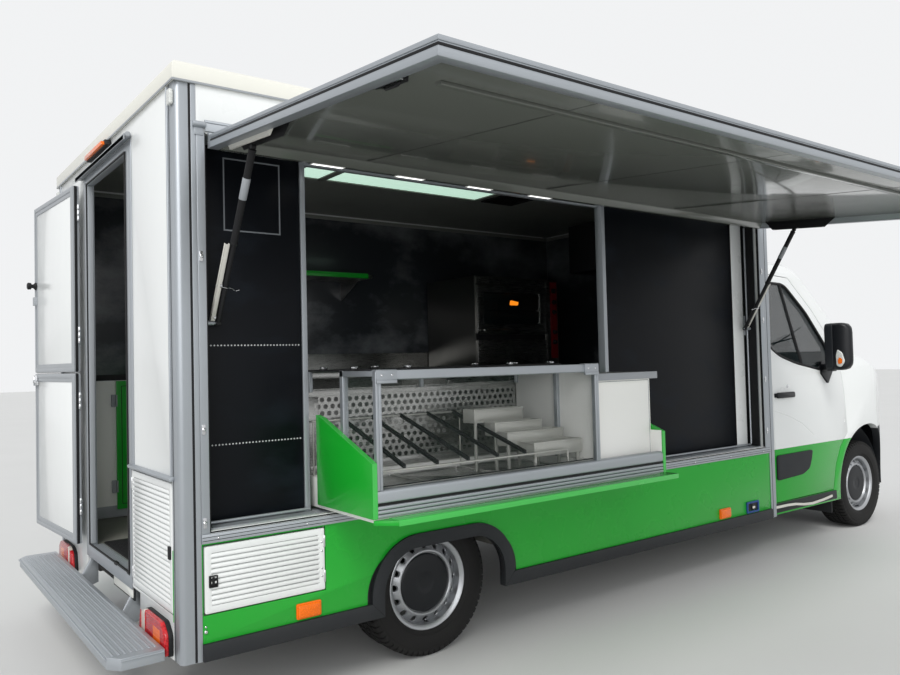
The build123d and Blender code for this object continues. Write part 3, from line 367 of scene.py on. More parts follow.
def lens(name, colour, ribs=260):
    """A moulded lamp lens, with fine prisms under its skin."""
    finish = Finish(name, Roughness=0.16, Coat_Weight=0.25, Specular_IOR_Level=0.3)
    prisms = finish.add("ShaderNodeTexVoronoi", {}, {"Vector": finish.place, "Scale": ribs})
    finish.feed("Base Color", finish.mix(prisms, shaded(colour, 0.7), shaded(colour, 1.15)))
    finish.bump(prisms, 0.5, 0.001)
    return finish.material


DIRT = srgb(96, 90, 80)
WHITE = srgb(226, 228, 227)
GREEN = srgb(22, 158, 42)
ALUMINIUM = srgb(168, 173, 178)

panel_white = painted("panel_white", WHITE, 0.22, coat=0.5, cloud=0.015, dirt=0.35)
roof_cream = painted("roof_cream", srgb(222, 221, 212), 0.35, coat=0.2, cloud=0.02, grain=0.05)
panel_green = painted("panel_green", GREEN, 0.3, coat=0.45, cloud=0.03, dirt=0.3)
edge_green = painted("edge_green", srgb(70, 184, 82), 0.25, coat=0.5, cloud=0.03)
trim_black = painted("trim_black", srgb(28, 31, 35), 0.55, cloud=0.12, grain=0.25, dirt=0.12)
seal_black = painted("seal_black", srgb(20, 20, 22), 0.6, cloud=0.1, grain=0.1)
frame_black = painted("frame_black", srgb(24, 24, 26), 0.6, cloud=0.2, grain=0.2, dirt=0.3)
# Painted shade in part: the awning's underside is dark grey partly as its own colour and partly for the shade
# that it lies in.
awning_grey = painted("awning_grey", srgb(104, 107, 101), 0.2, coat=1.2, cloud=0.06)
# Painted shade in part: the ceiling's grey is partly its own colour and partly the shade inside the shop; the
# worktop's grey is its own.
ceiling_grey = painted("ceiling_grey", srgb(128, 130, 125), 0.35, coat=0.3, cloud=0.05)
grey_frame = painted("grey_frame", srgb(150, 154, 158), 0.4, cloud=0.04, coat=0.2)
bracket_white = painted("bracket_white", srgb(206, 204, 196), 0.45, cloud=0.08, grain=0.1)
aluminium_x, aluminium_y, aluminium_z = (brushed("aluminium_" + a.lower(), ALUMINIUM, 0.42, a, metallic=0.6)
    for a in "XYZ")
stainless = brushed("stainless", srgb(178, 178, 176), 0.28, "X")
stainless_dark = brushed("stainless_dark", srgb(120, 119, 116), 0.38, "X")
chrome = brushed("chrome", srgb(215, 216, 218), 0.12, "Z", 0.03)
rim_silver = painted("rim_silver", srgb(168, 170, 173), 0.36, cloud=0.05, metallic=0.75, grain=0.05)
cast_grey = painted("cast_grey", srgb(82, 82, 80), 0.7, cloud=0.3, grain=0.5, grain_scale=300, metallic=0.5)
cap_black = painted("cap_black", srgb(18, 20, 24), 0.38, cloud=0.1, grain=0.08)
glass_clear = glazed("glass_clear", srgb(70, 88, 80), 0.96)
glass_tinted = glazed("glass_tinted", srgb(26, 36, 38), 0.62)
lens_orange = lens("lens_orange", srgb(246, 112, 8))
lens_clear = lens("lens_clear", srgb(214, 216, 212), 180)
# Painted light: the roof light's translucent panel glows, standing in for the daylight that comes through it;
# it is no lamp.
skylight = glowing("skylight", srgb(196, 232, 212), 0.9)
lamp_white = glowing("lamp_white", (1, 1, 0.97), 2.2)
oven_glow = glowing("oven_glow", srgb(255, 140, 30), 3.0, srgb(240, 150, 60))
panel_red = painted("panel_red", srgb(120, 22, 28), 0.3, coat=0.3, cloud=0.1)
cab_grey = painted("cab_grey", srgb(58, 59, 62), 0.65, cloud=0.08, grain=0.3)
floor_grey = painted("floor_grey", srgb(112, 112, 106), 0.6, cloud=0.12, grain=0.4, grain_scale=500)
inner_white = painted("inner_white", srgb(236, 236, 232), 0.4, cloud=0.02)
plate_white = painted("plate_white", srgb(224, 224, 218), 0.35, coat=0.2, cloud=0.02)
tray_steel = painted("tray_steel", srgb(186, 186, 180), 0.3, coat=0.2, cloud=0.08, metallic=0.35)
socket_blue = painted("socket_blue", srgb(36, 66, 128), 0.45, cloud=0.06)
chalk = painted("chalk", srgb(112, 116, 120), 0.8, cloud=0.25)
chalk_bright = painted("chalk_bright", srgb(196, 198, 198), 0.8, cloud=0.2)
mirror_glass = painted("mirror_glass", srgb(200, 206, 210), 0.03, cloud=0.01, metallic=1.0)


def slate():
    """Blackboard: nearly black, with wiped chalk in faint swathes."""
    finish = Finish("slate", Specular_IOR_Level=0.15)
    swathes = finish.noise(2.6, 8, stretch=(1, 1, 2.2), rough=0.6)
    wiped = ((swathes - 0.52) * 3).clamped()
    finish.feed("Base Color", finish.mix(wiped, srgb(9, 12, 17), srgb(25, 31, 39)))
    finish.feed("Roughness", wiped * 0.25 + 0.42)
    finish.bump(finish.noise(700, 2), 0.12, 0.0003)
    return finish.material


def dark_marble():
    """Dark wall board with a broad cloudy figure."""
    finish = Finish("dark_marble", Coat_Weight=0.35, Coat_Roughness=0.12)
    figure = finish.noise(1.1, 9, stretch=(1, 1, 1.5), rough=0.62)
    veins = ((figure - 0.48) * 4).clamped()
    finish.feed("Base Color", finish.mix(veins, srgb(44, 47, 52), srgb(138, 141, 145)))
    finish.feed("Roughness", veins * 0.1 + 0.3)
    return finish.material


def tyre_rubber():
    finish = Finish("tyre_rubber", Specular_IOR_Level=0.25)
    dust = finish.noise(9, 6)
    finish.feed("Base Color", finish.mix(dust, srgb(14, 14, 15), srgb(32, 31, 30)))
    finish.feed("Roughness", dust * 0.2 + 0.62)
    finish.bump(finish.noise(420, 3), 0.35, 0.0008)
    return finish.material


def cab_paint():
    """White above, green below the band's top line, as far as the front wheel's opening."""
    finish = Finish("cab_paint", Coat_Weight=0.25, Coat_Roughness=0.05, Specular_IOR_Level=0.3)
    clouds = finish.noise(1.3, 4)
    white, green = finish.clouded(clouds, WHITE, 0.015), finish.clouded(clouds, GREEN, 0.03)
    band = (finish.axis("Z") < at(0, 0, BAND_TOP_Z).z) * (finish.axis("X") < at(BAND_FRONT_X, 0, 0).x)
    finish.feed("Base Color", finish.dirtied(finish.mix(band, white, green), 0.3, 0.7))
    finish.feed("Roughness", (finish.noise(7, 4) - 0.5) * 0.1 + 0.25)
    return finish.material


def wall_paint():
    """Shop wall: white panel with the green band along its foot."""
    finish = Finish("wall_paint", Coat_Weight=0.2, Coat_Roughness=0.06, Specular_IOR_Level=0.3)
    clouds = finish.noise(1.1, 4)
    band = finish.axis("Z") < at(0, 0, BAND_TOP_Z).z
    outside = (finish.axis("Y") < at(0, -HALF_W + 12, 0).y) + (finish.axis("Y") > at(0, HALF_W - 12, 0).y)
    white, green = finish.clouded(clouds, WHITE, 0.015), finish.clouded(clouds, GREEN, 0.04)
    # Painted shade: the edges of the wheel openings, which lie in the dark under the arch mouldings, are
    # painted near black.
    half_flat, springing_z, corner_r = 0.225, 0.385, 0.21
    wide = ((finish.axis("X") - SHIFT.x).maths("ABSOLUTE") - half_flat).maths("MAXIMUM", 0)
    high = (finish.axis("Z") - springing_z).maths("MAXIMUM", 0)
    arch = (wide * wide + high * high) < corner_r ** 2
    colour = finish.dirtied(finish.mix(band * outside, white, green), 0.3, 0.7)
    finish.feed("Base Color", finish.mix(arch, colour, srgb(30, 30, 32)))
    finish.feed("Roughness", (finish.noise(6, 4) - 0.5) * 0.1 + 0.28)
    return finish.material


def seat_cloth():
    """Woven fabric of dark and lighter threads."""
    finish = Finish("seat_cloth")
    turns = 1700
    weft, warp = finish.axis("Y") * turns, (finish.axis("X") + finish.axis("Z")) * turns
    threads = weft.maths("SINE") * warp.maths("SINE")
    flecks = finish.noise(260, 3)
    finish.feed("Base Color", finish.mix((threads * 0.3 + flecks).clamped(), srgb(40, 42, 46),
        srgb(104, 106, 110)))
    finish.feed("Roughness", flecks * 0.1 + 0.82)
    finish.bump(threads + flecks, 0.35, 0.0006)
    return finish.material


def tail_lens():
    """Red lens with a clear band towards the middle of the truck and an orange block outside."""
    finish = Finish("tail_lens", Roughness=0.14, Coat_Weight=0.3, Specular_IOR_Level=0.3)
    out = (finish.axis("Y") - SHIFT.y).maths("ABSOLUTE")
    clear_y, orange_y, orange_top_z = (0.695, 0.745), (0.855, 0.945), 0.405
    clear = (out > clear_y[0]) * (out < clear_y[1])
    orange = (out > orange_y[0]) * (out < orange_y[1]) * (finish.axis("Z") < orange_top_z)
    prisms = finish.add("ShaderNodeTexVoronoi", {"distance": "MANHATTAN"},
        {"Vector": finish.place, "Scale": 140})
    red = finish.mix(prisms, srgb(120, 16, 22), srgb(196, 34, 40))
    colour = finish.mix(clear, red, srgb(214, 202, 190))
    finish.feed("Base Color", finish.mix(orange, colour, srgb(232, 104, 24)))
    finish.bump(prisms, 0.4, 0.001)
    return finish.material


slate = slate()
dark_marble = dark_marble()
tyre_rubber = tyre_rubber()
cab_paint = cab_paint()
wall_paint = wall_paint()
tail_lens = tail_lens()
seat_cloth = seat_cloth()


# Mesh helpers

def shown(name, mesh, finish, body="chassis", bevel=0.0, smooth=35, segments=2, wall=0.0):
    """Makes a mesh a piece that rides on a body. A wall gives an open sheet its thickness."""
    mesh.name = name
    mesh.materials.clear()
    mesh.materials.append(finish)
    thing = bpy.data.objects.new(name, mesh)
    bpy.context.scene.collection.objects.link(thing)
    if wall:
        sheet = thing.modifiers.new("sheet", "SOLIDIFY")
        sheet.thickness = wall / 1000
        sheet.offset = 0
    if bevel:
        rounding = thing.modifiers.new("edges", "BEVEL")
        rounding.width = bevel / 1000
        rounding.segments = segments
        rounding.limit_method = "ANGLE"
        rounding.angle_limit = math.radians(32)
    if thing.modifiers:
        mesh = plain(thing)
    mesh.shade_smooth()
    mesh.set_sharp_from_angle(angle=math.radians(smooth))
    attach(thing, body)
    return thing


def plain(thing):
    """Swaps a thing's mesh for the one that its modifiers give."""
    bpy.context.view_layer.update()
    graph = bpy.context.evaluated_depsgraph_get()
    mesh = bpy.data.meshes.new_from_object(thing.evaluated_get(graph))
    thing.modifiers.clear()
    thing.data = mesh
    return mesh


def dressed(node, finish, bevel=0.0, smooth=35):
    """A merged copy of a CAD node with rounded edges, shown in the node's place."""
    source = frame["nodes"][node]
    body = source["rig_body"]
    form = bmesh.new()
    form.from_mesh(source.data)
    bmesh.ops.remove_doubles(form, verts=form.verts, dist=0.00002)
    bmesh.ops.dissolve_limit(form, angle_limit=math.radians(0.4), verts=form.verts, edges=form.edges)
    mesh = bpy.data.meshes.new(node)
    form.to_mesh(mesh)
    form.free()
    thing = shown(node + "_skin", mesh, finish, body, bevel, smooth)
    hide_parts(node)
    return thing


def rounded(outline, radius, steps=4):
    """The outline with its corners rounded off."""
    points = []
    for before, corner, after in zip(outline[-1:] + outline[:-1], outline, outline[1:] + outline[:1]):
        corner = Vector(corner)
        legs = [Vector(end) - corner for end in (before, after)]
        start, end = [corner + leg * min(0.49, radius / leg.length) for leg in legs]
        for n in range(steps + 1):
            t = n / steps
            points.append(tuple(start * (1 - t) ** 2 + corner * 2 * t * (1 - t) + end * t * t))
    return points


def oblong(u, v, radius=0.0, steps=4):
    """A rectangle between two values each way, its corners rounded off."""
    corners = [(u[0], v[0]), (u[1], v[0]), (u[1], v[1]), (u[0], v[1])]
    return rounded(corners, radius, steps) if radius else corners


def placed(a, b, c, along):
    """Two coordinates of an outline and the one along its axis, in X, Y, Z order."""
    return {"X": (c, a, b), "Y": (a, c, b), "Z": (a, b, c)}[along]


def span(a, b):
    return (min(a, b), max(a, b))


def shrunk(outline, middle, share):
    """The outline drawn in towards a point in its middle."""
    return [tuple(m + (v - m) * share for v, m in zip(point, middle)) for point in outline]


class Form:
    """Collects solids in one mesh, in the millimetres of the place that it is made for."""

    def __init__(self, place=at):
        self.mesh = bmesh.new()
        self.place = place

    def ring(self, points):
        return [self.mesh.verts.new(self.place(*p)) for p in points]

    def join(self, rings, closed=True, caps=False):
        for one, two in zip(rings, rings[1:]):
            count = len(one)
            for i in range(count if closed else count - 1):
                self.mesh.faces.new((one[i], one[(i + 1) % count], two[(i + 1) % count], two[i]))
        if caps:
            self.mesh.faces.new(list(reversed(rings[0])))
            self.mesh.faces.new(rings[-1])
        return self

    def loft(self, rings, caps=True):
        """Skins closed rings of points."""
        return self.join([self.ring(points) for points in rings], caps=caps)

    def stack(self, layers, along="Y", looped=False):
        """Skins outlines, each at its own place along an axis; their points are the two other coordinates."""
        rings = [self.ring([placed(a, b, c, along) for a, b in outline]) for outline, c in layers]
        return self.join(rings + rings[:1] if looped else rings, caps=not looped)

    def prism(self, outline, ends, along="Y"):
        return self.stack([(outline, c) for c in ends], along)

    def box(self, x, y, z):
        return self.prism(oblong(x, y), z, "Z")

    def frame(self, outer, inner, ends, along="Y"):
        """A prism with a hole through it. Both outlines have as many points."""
        low, high = ends
        return self.stack(((outer, low), (outer, high), (inner, high), (inner, low)), along, looped=True)

    def circle(self, middle, side, up, radius, steps):
        """A ring of points about a middle, in the plane of side and up."""
        turns = [2 * math.pi * n / steps for n in range(steps)]
        return self.ring([middle + (side * math.cos(a) + up * math.sin(a)) * radius for a in turns])

    def lathe(self, profile, centre, axis=(0, 1, 0), steps=48, closed=False):
        """Turns (along, radius) points about an axis through the centre."""
        ahead = Vector(axis).normalized()
        side = ahead.orthogonal().normalized()
        up = ahead.cross(side)
        rings = [self.circle(Vector(centre) + ahead * along, side, up, radius, steps)
            for along, radius in profile]
        return self.join(rings + rings[:1] if closed else rings, caps=not closed)

    def screw(self, centre, axis, radius=5.0, rise=2.5, steps=10):
        return self.lathe([(-1, radius), (rise * 0.5, radius), (rise, radius * 0.6)], centre, axis, steps)

    def tube(self, points, radius, sides=12, looped=False):
        """A round bar along points, mitred at each."""
        line = [Vector(p) for p in points]
        count = len(line)
        rings, side = [], None
        for i, here in enumerate(line):
            after = line[(i + 1) % count] if looped else line[min(i + 1, count - 1)]
            before = line[i - 1] if looped or i else here
            ahead = (after - before).normalized()
            if side is None:
                side = ahead.orthogonal().normalized()
            side = (side - ahead * side.dot(ahead)).normalized()
            rings.append(self.circle(here, side, ahead.cross(side), radius, sides))
        return self.join(rings + rings[:1] if looped else rings, caps=not looped)

    def mesh_now(self, name):
        if all(len(edge.link_faces) == 2 for edge in self.mesh.edges):
            bmesh.ops.recalc_face_normals(self.mesh, faces=self.mesh.faces)
        mesh = bpy.data.meshes.new(name)
        self.mesh.to_mesh(mesh)
        self.mesh.free()
        return mesh

    def done(self, name, finish, body="chassis", **look):
        return shown(name, self.mesh_now(name), finish, body, **look)


# Finishes of the nodes whose own shape is shown, with the rounding of their edges
DRESSED = (("chassis_frame", frame_black, 3), ("rear_axle", frame_black, 3),
    ("front_suspension", frame_black, 2), ("engine_block", cast_grey, 12), ("fuel_tank", frame_black, 22),
    ("box_floor", floor_grey, 1), ("box_roof", roof_cream, 2), ("left_wall", wall_paint, 1),
    ("right_wall", wall_paint, 1), ("end_walls", panel_white, 1), ("body_frame", aluminium_z, 1.5),
    ("side_skirts", trim_black, 4), ("hatch_frame", aluminium_z, 1.5), ("menu_boards", slate, 0.8),
    ("corner_locker", panel_green, 1), ("rear_step", aluminium_y, 1), ("kitchen_units", stainless, 2),
    ("oven", stainless_dark, 3), ("cab_shell", cab_paint, 1.5), ("front_bumper", trim_black, 3),
    ("headlamps", lens_clear, 2), ("cab_inside", cab_grey, 3), ("windscreen", glass_tinted, 0),
    ("roof_light", skylight, 3), ("knuckle_left", cast_grey, 3), ("knuckle_right", cast_grey, 3),
    ("door_left", cab_paint, 1.5), ("door_right", cab_paint, 1.5), ("door_glass_left", glass_tinted, 0),
    ("door_glass_right", glass_tinted, 0), ("bonnet", cab_paint, 1.5), ("awning_panel", awning_grey, 0.5),
    ("awning_frame", aluminium_x, 1.5), ("strut_tube_rear", frame_black, 0),
    ("strut_tube_front", frame_black, 0), ("strut_rod_rear", seal_black, 0),
    ("strut_rod_front", seal_black, 0), ("display_cheeks", panel_green, 1),
    ("display_cabinet", inner_white, 1.5), ("display_glass", glass_clear, 0.5),
    ("rear_door_upper", panel_white, 1), ("rear_door_upper_frame", grey_frame, 1.5),
    ("rear_door_lower", panel_white, 1), ("rear_door_lower_frame", grey_frame, 1.5))
for node, finish, rounding in DRESSED:
    dressed(node, finish, rounding)


# Wheels: each one's name, its axle's X, and its side, +1 on the left
WHEELS = (("front_left", WHEELBASE, 1), ("front_right", WHEELBASE, -1), ("rear_left", 0, 1),
    ("rear_right", 0, -1))
TREAD_R, DISC_R, SHOULDER_R, VENT_CIRCLE, VENT_COUNT = 345, 199, 156, 177, 16


def disc_across(radius):
    """How far out the rim's disc stands at a radius: dished, up to its shoulder."""
    rise = max(0, (DISC_R - radius) / (DISC_R - SHOULDER_R))
    return 38 + 33 * min(1, rise) ** 0.85


def tyre(name, centre, side, body):
    half = [(86, 218), (93, 223), (99, 232), (104, 241), (107, 243), (108, 250), (110.5, 264), (111, 276),
        (110, 292), (108, 306), (106, 308), (106, 312), (102, 324), (96, 334), (88, 337)]
    profile = [(side * a, r) for a, r in half] + [(-side * a, r) for a, r in reversed(half)]
    carcass = Form().lathe(profile, centre, steps=96, closed=True).done("carcass_" + name, tyre_rubber, body)
    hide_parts("tyre_" + name)

    x, y, z = centre
    tread = Form()
    for low, high, slant in ((-58, -25, 5), (-17, 17, -5), (25, 58, 5)):
        layers = []
        for height, inset in ((332, 0), (TREAD_R - 1.5, 0), (TREAD_R, 1.5)):
            low_y, high_y, reach = low + inset, high - inset, 13 - inset
            block = [(-reach - slant, low_y), (reach - slant, low_y), (reach + slant, high_y),
                (-reach + slant, high_y)]
            layers.append(([(x + a, y + b) for a, b in block], z + height))
        tread.stack(layers, "Z")
    for turn in (1, -1):
        shoulder = [(66, 334), (66, 344.5), (92, 342.5), (100, 337), (106, 326), (104.5, 315), (98, 325)]
        tread.prism([(y + turn * a, z + r) for a, r in shoulder], (x - 12, x + 12), "X")
    in_ring(tread, "tread_" + name, tyre_rubber, body, 64, centre)


def rim_disc(name, centre, side, body):
    """One sixteenth of the disc with its vent, repeated round the axle."""
    x, y, z = centre
    corner_turn = math.pi / VENT_COUNT
    corners = [(-corner_turn, SHOULDER_R), (corner_turn, SHOULDER_R), (corner_turn, DISC_R),
        (-corner_turn, DISC_R)]
    per_side = 6
    border = [tuple(a + (b - a) * n / per_side for a, b in zip(corners[k], corners[(k + 1) % 4]))
        for k in range(4) for n in range(per_side)]
    rings = []
    for hole_r, sink in ((15, 9), (15.2, 3.5), (16.6, 0.7), (19, 0)):
        turns = [math.pi * (-0.75 + 2 * n / len(border)) for n in range(len(border))]
        rings.append([(hole_r * math.cos(a) / VENT_CIRCLE, VENT_CIRCLE + hole_r * math.sin(a), sink)
            for a in turns])
    rings.append([(turn, radius, 0) for turn, radius in border])
    sector = Form()
    sector.join([sector.ring([(x + r * math.sin(turn), y + side * (disc_across(r) - sink),
        z + r * math.cos(turn)) for turn, r, sink in points]) for points in rings])
    in_ring(sector, "disc_" + name, rim_silver, body, VENT_COUNT, centre, weld=0.05, wall=3.5)


def rim(name, centre, side, body):
    def out(profile):
        return [(side * a, r) for a, r in profile]

    barrel = [(93, 218), (91.5, 221.5), (88.5, 221.5), (87, 216), (84, 210), (77, 203.5), (40, 202),
        (-76, 202), (-86, 214), (-88, 221), (-91, 221.5), (-93, 218), (-90, 208), (-79, 197.5), (38, 197.5),
        (79, 198.5), (88, 206)]
    steel = Form().lathe(out(barrel), centre, steps=96, closed=True)
    shoulder = [(66, 160), (70, 158), (72, 154), (71.5, 149), (68, 145), (62, 142.5), (57, 142), (57, 147),
        (64, 151), (66, 156)]
    steel.lathe(out(shoulder), centre, steps=96, closed=True)
    steel.lathe(out([(50, 60), (50, 144), (55, 144), (55, 60)]), centre, steps=48, closed=True)
    face = steel.done("rim_" + name + "_steel", rim_silver, body)
    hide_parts("rim_" + name)
    rim_disc(name, centre, side, body)
    cap = [(56, 140), (62, 139.6), (64.5, 137), (66.5, 128), (68.5, 100), (69.6, 62), (69.6, 44), (68.8, 42),
        (68.8, 20), (69, 1)]
    Form().lathe(out(cap), centre, steps=72).done("cap_" + name, cap_black, body)

    # Brake disc with its vanes, and the hub
    x, y, z = centre
    hub = Form()
    for a, b in ((-72, -65), (-59, -52)):
        hub.lathe(out([(a, 72), (a, 139), (b, 139), (b, 72)]), centre, closed=True)
    hub.lathe(out([(-72, 27), (-72, 74), (-50, 74), (-46, 62), (49, 60), (49, 27)]), centre, closed=True)
    hub.done("hub_" + name, cast_grey, body)
    vane = Form().box((x - 2, x + 2), span(y - side * 66, y - side * 58), (z + 80, z + 137))
    in_ring(vane, "vanes_" + name, cast_grey, body, 36, centre)
    valve = Form().tube([(x, y + side * 50, z - 190), (x, y + side * 66, z - 188),
        (x, y + side * 80, z - 185)], 4, 10)
    valve.done("valve_" + name, seal_black, body)


for name, axle_x, side in WHEELS:
    for make in (tyre, rim):
        make(name, (axle_x, side * TRACK_Y, AXLE_Z), side, "wheel_" + name)


# Louvred lockers

def louvred_door(name, place, width, height, hinge_x, latch, screws):
    """White moulded door: a raised border, rounded louvres over a back plate, a black latch and hinges."""
    border, usual_pitch, body = 27, 20.3, "locker_door_" + name
    slats = round((height - 2 * border) / usual_pitch)
    pitch = (height - 2 * border) / slats
    leaf = Form(place).frame(oblong((0, width), (0, height), 7),
        oblong((border, width - border), (border, height - border), 6), (-2, 22))
    leaf.prism(oblong((border - 4, width - border + 4), (border - 4, height - border + 4)), (9, 21))
    leaf = leaf.done(body + "_leaf", panel_white, body, bevel=1.6)
    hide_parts(body)
    slat = [(10, 0), (0, 1.6), (-3.2, 4.5), (-4, 8.5), (-3, 13), (-0.5, pitch - 3.4), (3, pitch - 2),
        (10, pitch - 1.6)]
    slat = Form(place).prism([(y, border + z) for y, z in slat], (border - 2, width - border + 2), "X")
    in_rows(slat, body + "_louvres", panel_white, body, rows=slats, up=(0, 0, pitch), bevel=0.4, smooth=50)

    (x, z), (half_x, half_z) = latch
    grip = Form(place).frame(oblong((x - half_x, x + half_x), (z - half_z, z + half_z), 3),
        oblong((x - half_x + 4, x + half_x - 4), (z - half_z + 4, z + half_z - 4), 2), (-9, 8))
    grip.prism(oblong((x - half_x + 3, x + half_x - 3), (z - half_z + 3, z + half_z - 3)), (-3, 8))
    grip.prism(oblong((x - 5, x + 5), (z - half_z + 6, z + half_z - 6), 2), (-8, -2))
    grip.done(body + "_latch", seal_black, body, bevel=0.6)
    bolts = Form(place)
    for x, z in screws:
        bolts.screw((x, -1, z), (0, -1, 0), 5, 2.4)
    for z in (30, height - 80):
        bolts.tube([(hinge_x, 0, z), (hinge_x, 0, z + 50)], 5, 14)
    bolts.done(body + "_hinges", chrome, body, bevel=0.4)


def lockers():
    clear = 2 * LOCKER_CLEAR
    width = LOCKER_SIDE_X[1] - LOCKER_SIDE_X[0] - clear
    louvred_door("side", on_side_locker, width, LOCKER_SIDE_Z[1] - LOCKER_SIDE_Z[0] - clear, width,
        ((32, 121), (17, 23)), [(width - 12, z) for z in (56, 89, 160, 198)])
    width = LOCKER_REAR_Y[1] - LOCKER_REAR_Y[0] - clear
    louvred_door("rear", on_rear_locker, width, LOCKER_REAR_Z[1] - LOCKER_REAR_Z[0] - clear, 0,
        ((width - 20, 231), (12, 25)), [(13, z) for z in (56, 89, 410, 443)])
    # Strip that sheds rain above the rear locker, and the green foot of the corner post beside it
    strip = Form().prism(rounded([(-1247, 988), (-1262, 986), (-1266, 998), (-1247, 1006)], 3),
        (-1034, -440), "Y")
    strip.done("rear_locker_strip", aluminium_y, bevel=1)
    foot = Form().box((BOX_REAR_X - 2, BOX_REAR_X + 1), (-HALF_W + POST_W, LOCKER_REAR_Y[0]),
        (446, BAND_TOP_Z - 25))
    foot.done("rear_corner_green", panel_green, bevel=0.5)


lockers()


# Rear step

def step_pips():
    """Raised pips along the tread's ribs and between them."""
    pitch_y = 15.5
    for name, x, z in (("ribs", -1309, 363), ("valleys", -1320, 360)):
        foot, top = oblong((x - 3.2, x + 3.2), (-974, -965)), oblong((x - 2, x + 2), (-972.5, -966.5))
        pip = Form().stack(((foot, z - 0.4), (top, z + 1.8)), "Z")
        in_rows(pip, "step_pips_" + name, aluminium_y, columns=126, rows=8 if name == "ribs" else 7,
            across=(0, pitch_y, 0), up=(-22, 0, 0), shift=(0, pitch_y / 2, 0))
    lip = Form()
    for a, b in (((-1488, -982), (-1488, 992)), ((-1446, 1043), (-1292, 1043)),
            ((-1446, -1033), (-1292, -1033))):
        lip.tube([(*a, 352), (*b, 352)], 4, 10)
    lip.done("step_lip", aluminium_y)


step_pips()


# Rear lamps and plate

def rear_lamps():
    outline = [(640, 312), (1008, 312), (1008, 398), (960, 440), (720, 440), (660, 412)]
    for turn, side in ((1, "left"), (-1, "right")):
        lamp = [(turn * y, z) for y, z in outline]
        middle = (turn * 824, 374)
        flank, crown = [rounded(shrunk(lamp, middle, share), 16) for share in (0.965, 0.93)]
        body = Form().prism(rounded(lamp, 18), (-1265, -1247), "X").done("lamp_body_" + side, seal_black,
            bevel=2)
        if turn > 0:
            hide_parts("tail_lamps")
        face = Form().stack(((flank, -1262), (flank, -1274), (crown, -1281)), "X")
        face.done("lamp_lens_" + side, tail_lens, bevel=2.5, segments=3)
        rib = Form().box((-1283, -1280), span(turn * 752, turn * 755), (322, 428))
        in_rows(rib, "lamp_ribs_" + side, tail_lens, columns=2, across=(0, turn * -62, 0), bevel=0.8)
        # Clear marker high on each rear post
        marker = Form().prism(rounded([(turn * 1046, 2440), (turn * 1086, 2440), (turn * 1086, 2500),
            (turn * 1046, 2500)], 8), (-1262, -1247), "X")
        marker.done("post_marker_" + side, lens_clear, bevel=3)

    housing = Form().prism(rounded([(-170, 2496), (230, 2496), (216, 2526), (-156, 2526)], 8),
        (-1276, -1247), "X")
    housing.done("door_marker_housing", seal_black, bevel=2)
    Form().prism(rounded([(-150, 2500), (210, 2500), (200, 2520), (-140, 2520)], 6), (-1290, -1274),
        "X").done("door_marker_lens", lens_orange, bevel=3)


def plate_holder():
    Form().box((-1243, -1236), (-450, -98), (398, 512)).done("plate_holder", trim_black, bevel=2)
    Form().prism(oblong((-440, -118), (408, 502), 8), (-1247, -1243), "X").done("plate", plate_white, bevel=1)
    lamp = Form()
    for y in (-392, -166):
        lamp.prism(oblong((y - 24, y + 24), (504, 520), 5), (-1253, -1240), "X")
    lamp.done("plate_lamps", seal_black, bevel=2)


rear_lamps()
plate_holder()


# Rear door

def rear_door_fittings():
    leaf_out, leaf_in = BOX_REAR_X - 37, BOX_REAR_X - 11
    for name, low, high in (("lower", 512, 1408), ("upper", 1416, 2408)):
        body = "rear_door_" + name
        bright = Form(on_rear_door)
        for z in (low + 150, high - 190):
            for n in range(3):
                bright.tube([(*DOOR_PIVOT, z + 30 * n + 2), (*DOOR_PIVOT, z + 30 * n + 28)], 8, 16)
            bright.box((leaf_out - 3, leaf_out), (360, 396), (z, z + 90))
        bright.done("door_hinges_" + name, chrome, body, bevel=0.8)
        # Grey edging round both faces
        edging = Form(on_rear_door)
        outer = oblong((-413, 392), (low, high), 10)
        for face in ((leaf_out - 2.5, leaf_out), (leaf_in, leaf_in + 2.5)):
            edging.frame(outer, oblong((-389, 346), (low + 24, high - 24), 6), face, "X")
        edging.done("door_edging_" + name, grey_frame, body, bevel=1)
        rubber = Form(on_rear_door).frame(oblong((-416, 395), (low - 2, high + 2), 12),
            oblong((-410, 389), (low + 4, high - 4), 9), (leaf_out + 8, leaf_in - 4), "X")
        rubber.done("door_rubber_" + name, seal_black, body, bevel=1)

    # A turning knob at the upper leaf's free edge, and a bright latch at the split
    knob_z = 1938
    knob = Form(on_rear_door)
    knob.lathe([(0, 22), (6, 23), (10, 19), (16, 12), (26, 11), (30, 20), (46, 21), (50, 16)],
        (leaf_in, -385, knob_z), (1, 0, 0), 28)
    knob.lathe([(0, 22), (7, 22), (9, 18)], (leaf_out, -385, knob_z), (-1, 0, 0), 28)
    knob.prism(oblong((-393, -377), (knob_z - 36, knob_z + 36), 6), (leaf_out - 20, leaf_out - 8), "X")
    knob.done("door_knob", seal_black, "rear_door_upper", bevel=1.5)
    latch = Form(on_rear_door)
    latch.box((leaf_in, leaf_in + 14), (-405, -350), (1340, 1400))
    latch.tube([(leaf_in + 18, -378, 1352), (leaf_in + 18, -378, 1392)], 6, 12)
    latch.tube([(leaf_in + 18, -378, 1360), (leaf_in + 18, -330, 1360)], 5, 12)
    latch.done("door_latch", chrome, "rear_door_lower", bevel=1.5)
    holder = Form()
    holder.tube([(-1262, 1080, 2396), (-1285, 1080, 2396), (-1285, 1080, 2448)], 7, 12)
    holder.box((-1254, -1246), (1062, 1098), (2370, 2422))
    holder.done("door_holder", aluminium_z, bevel=1)


rear_door_fittings()


# Awning

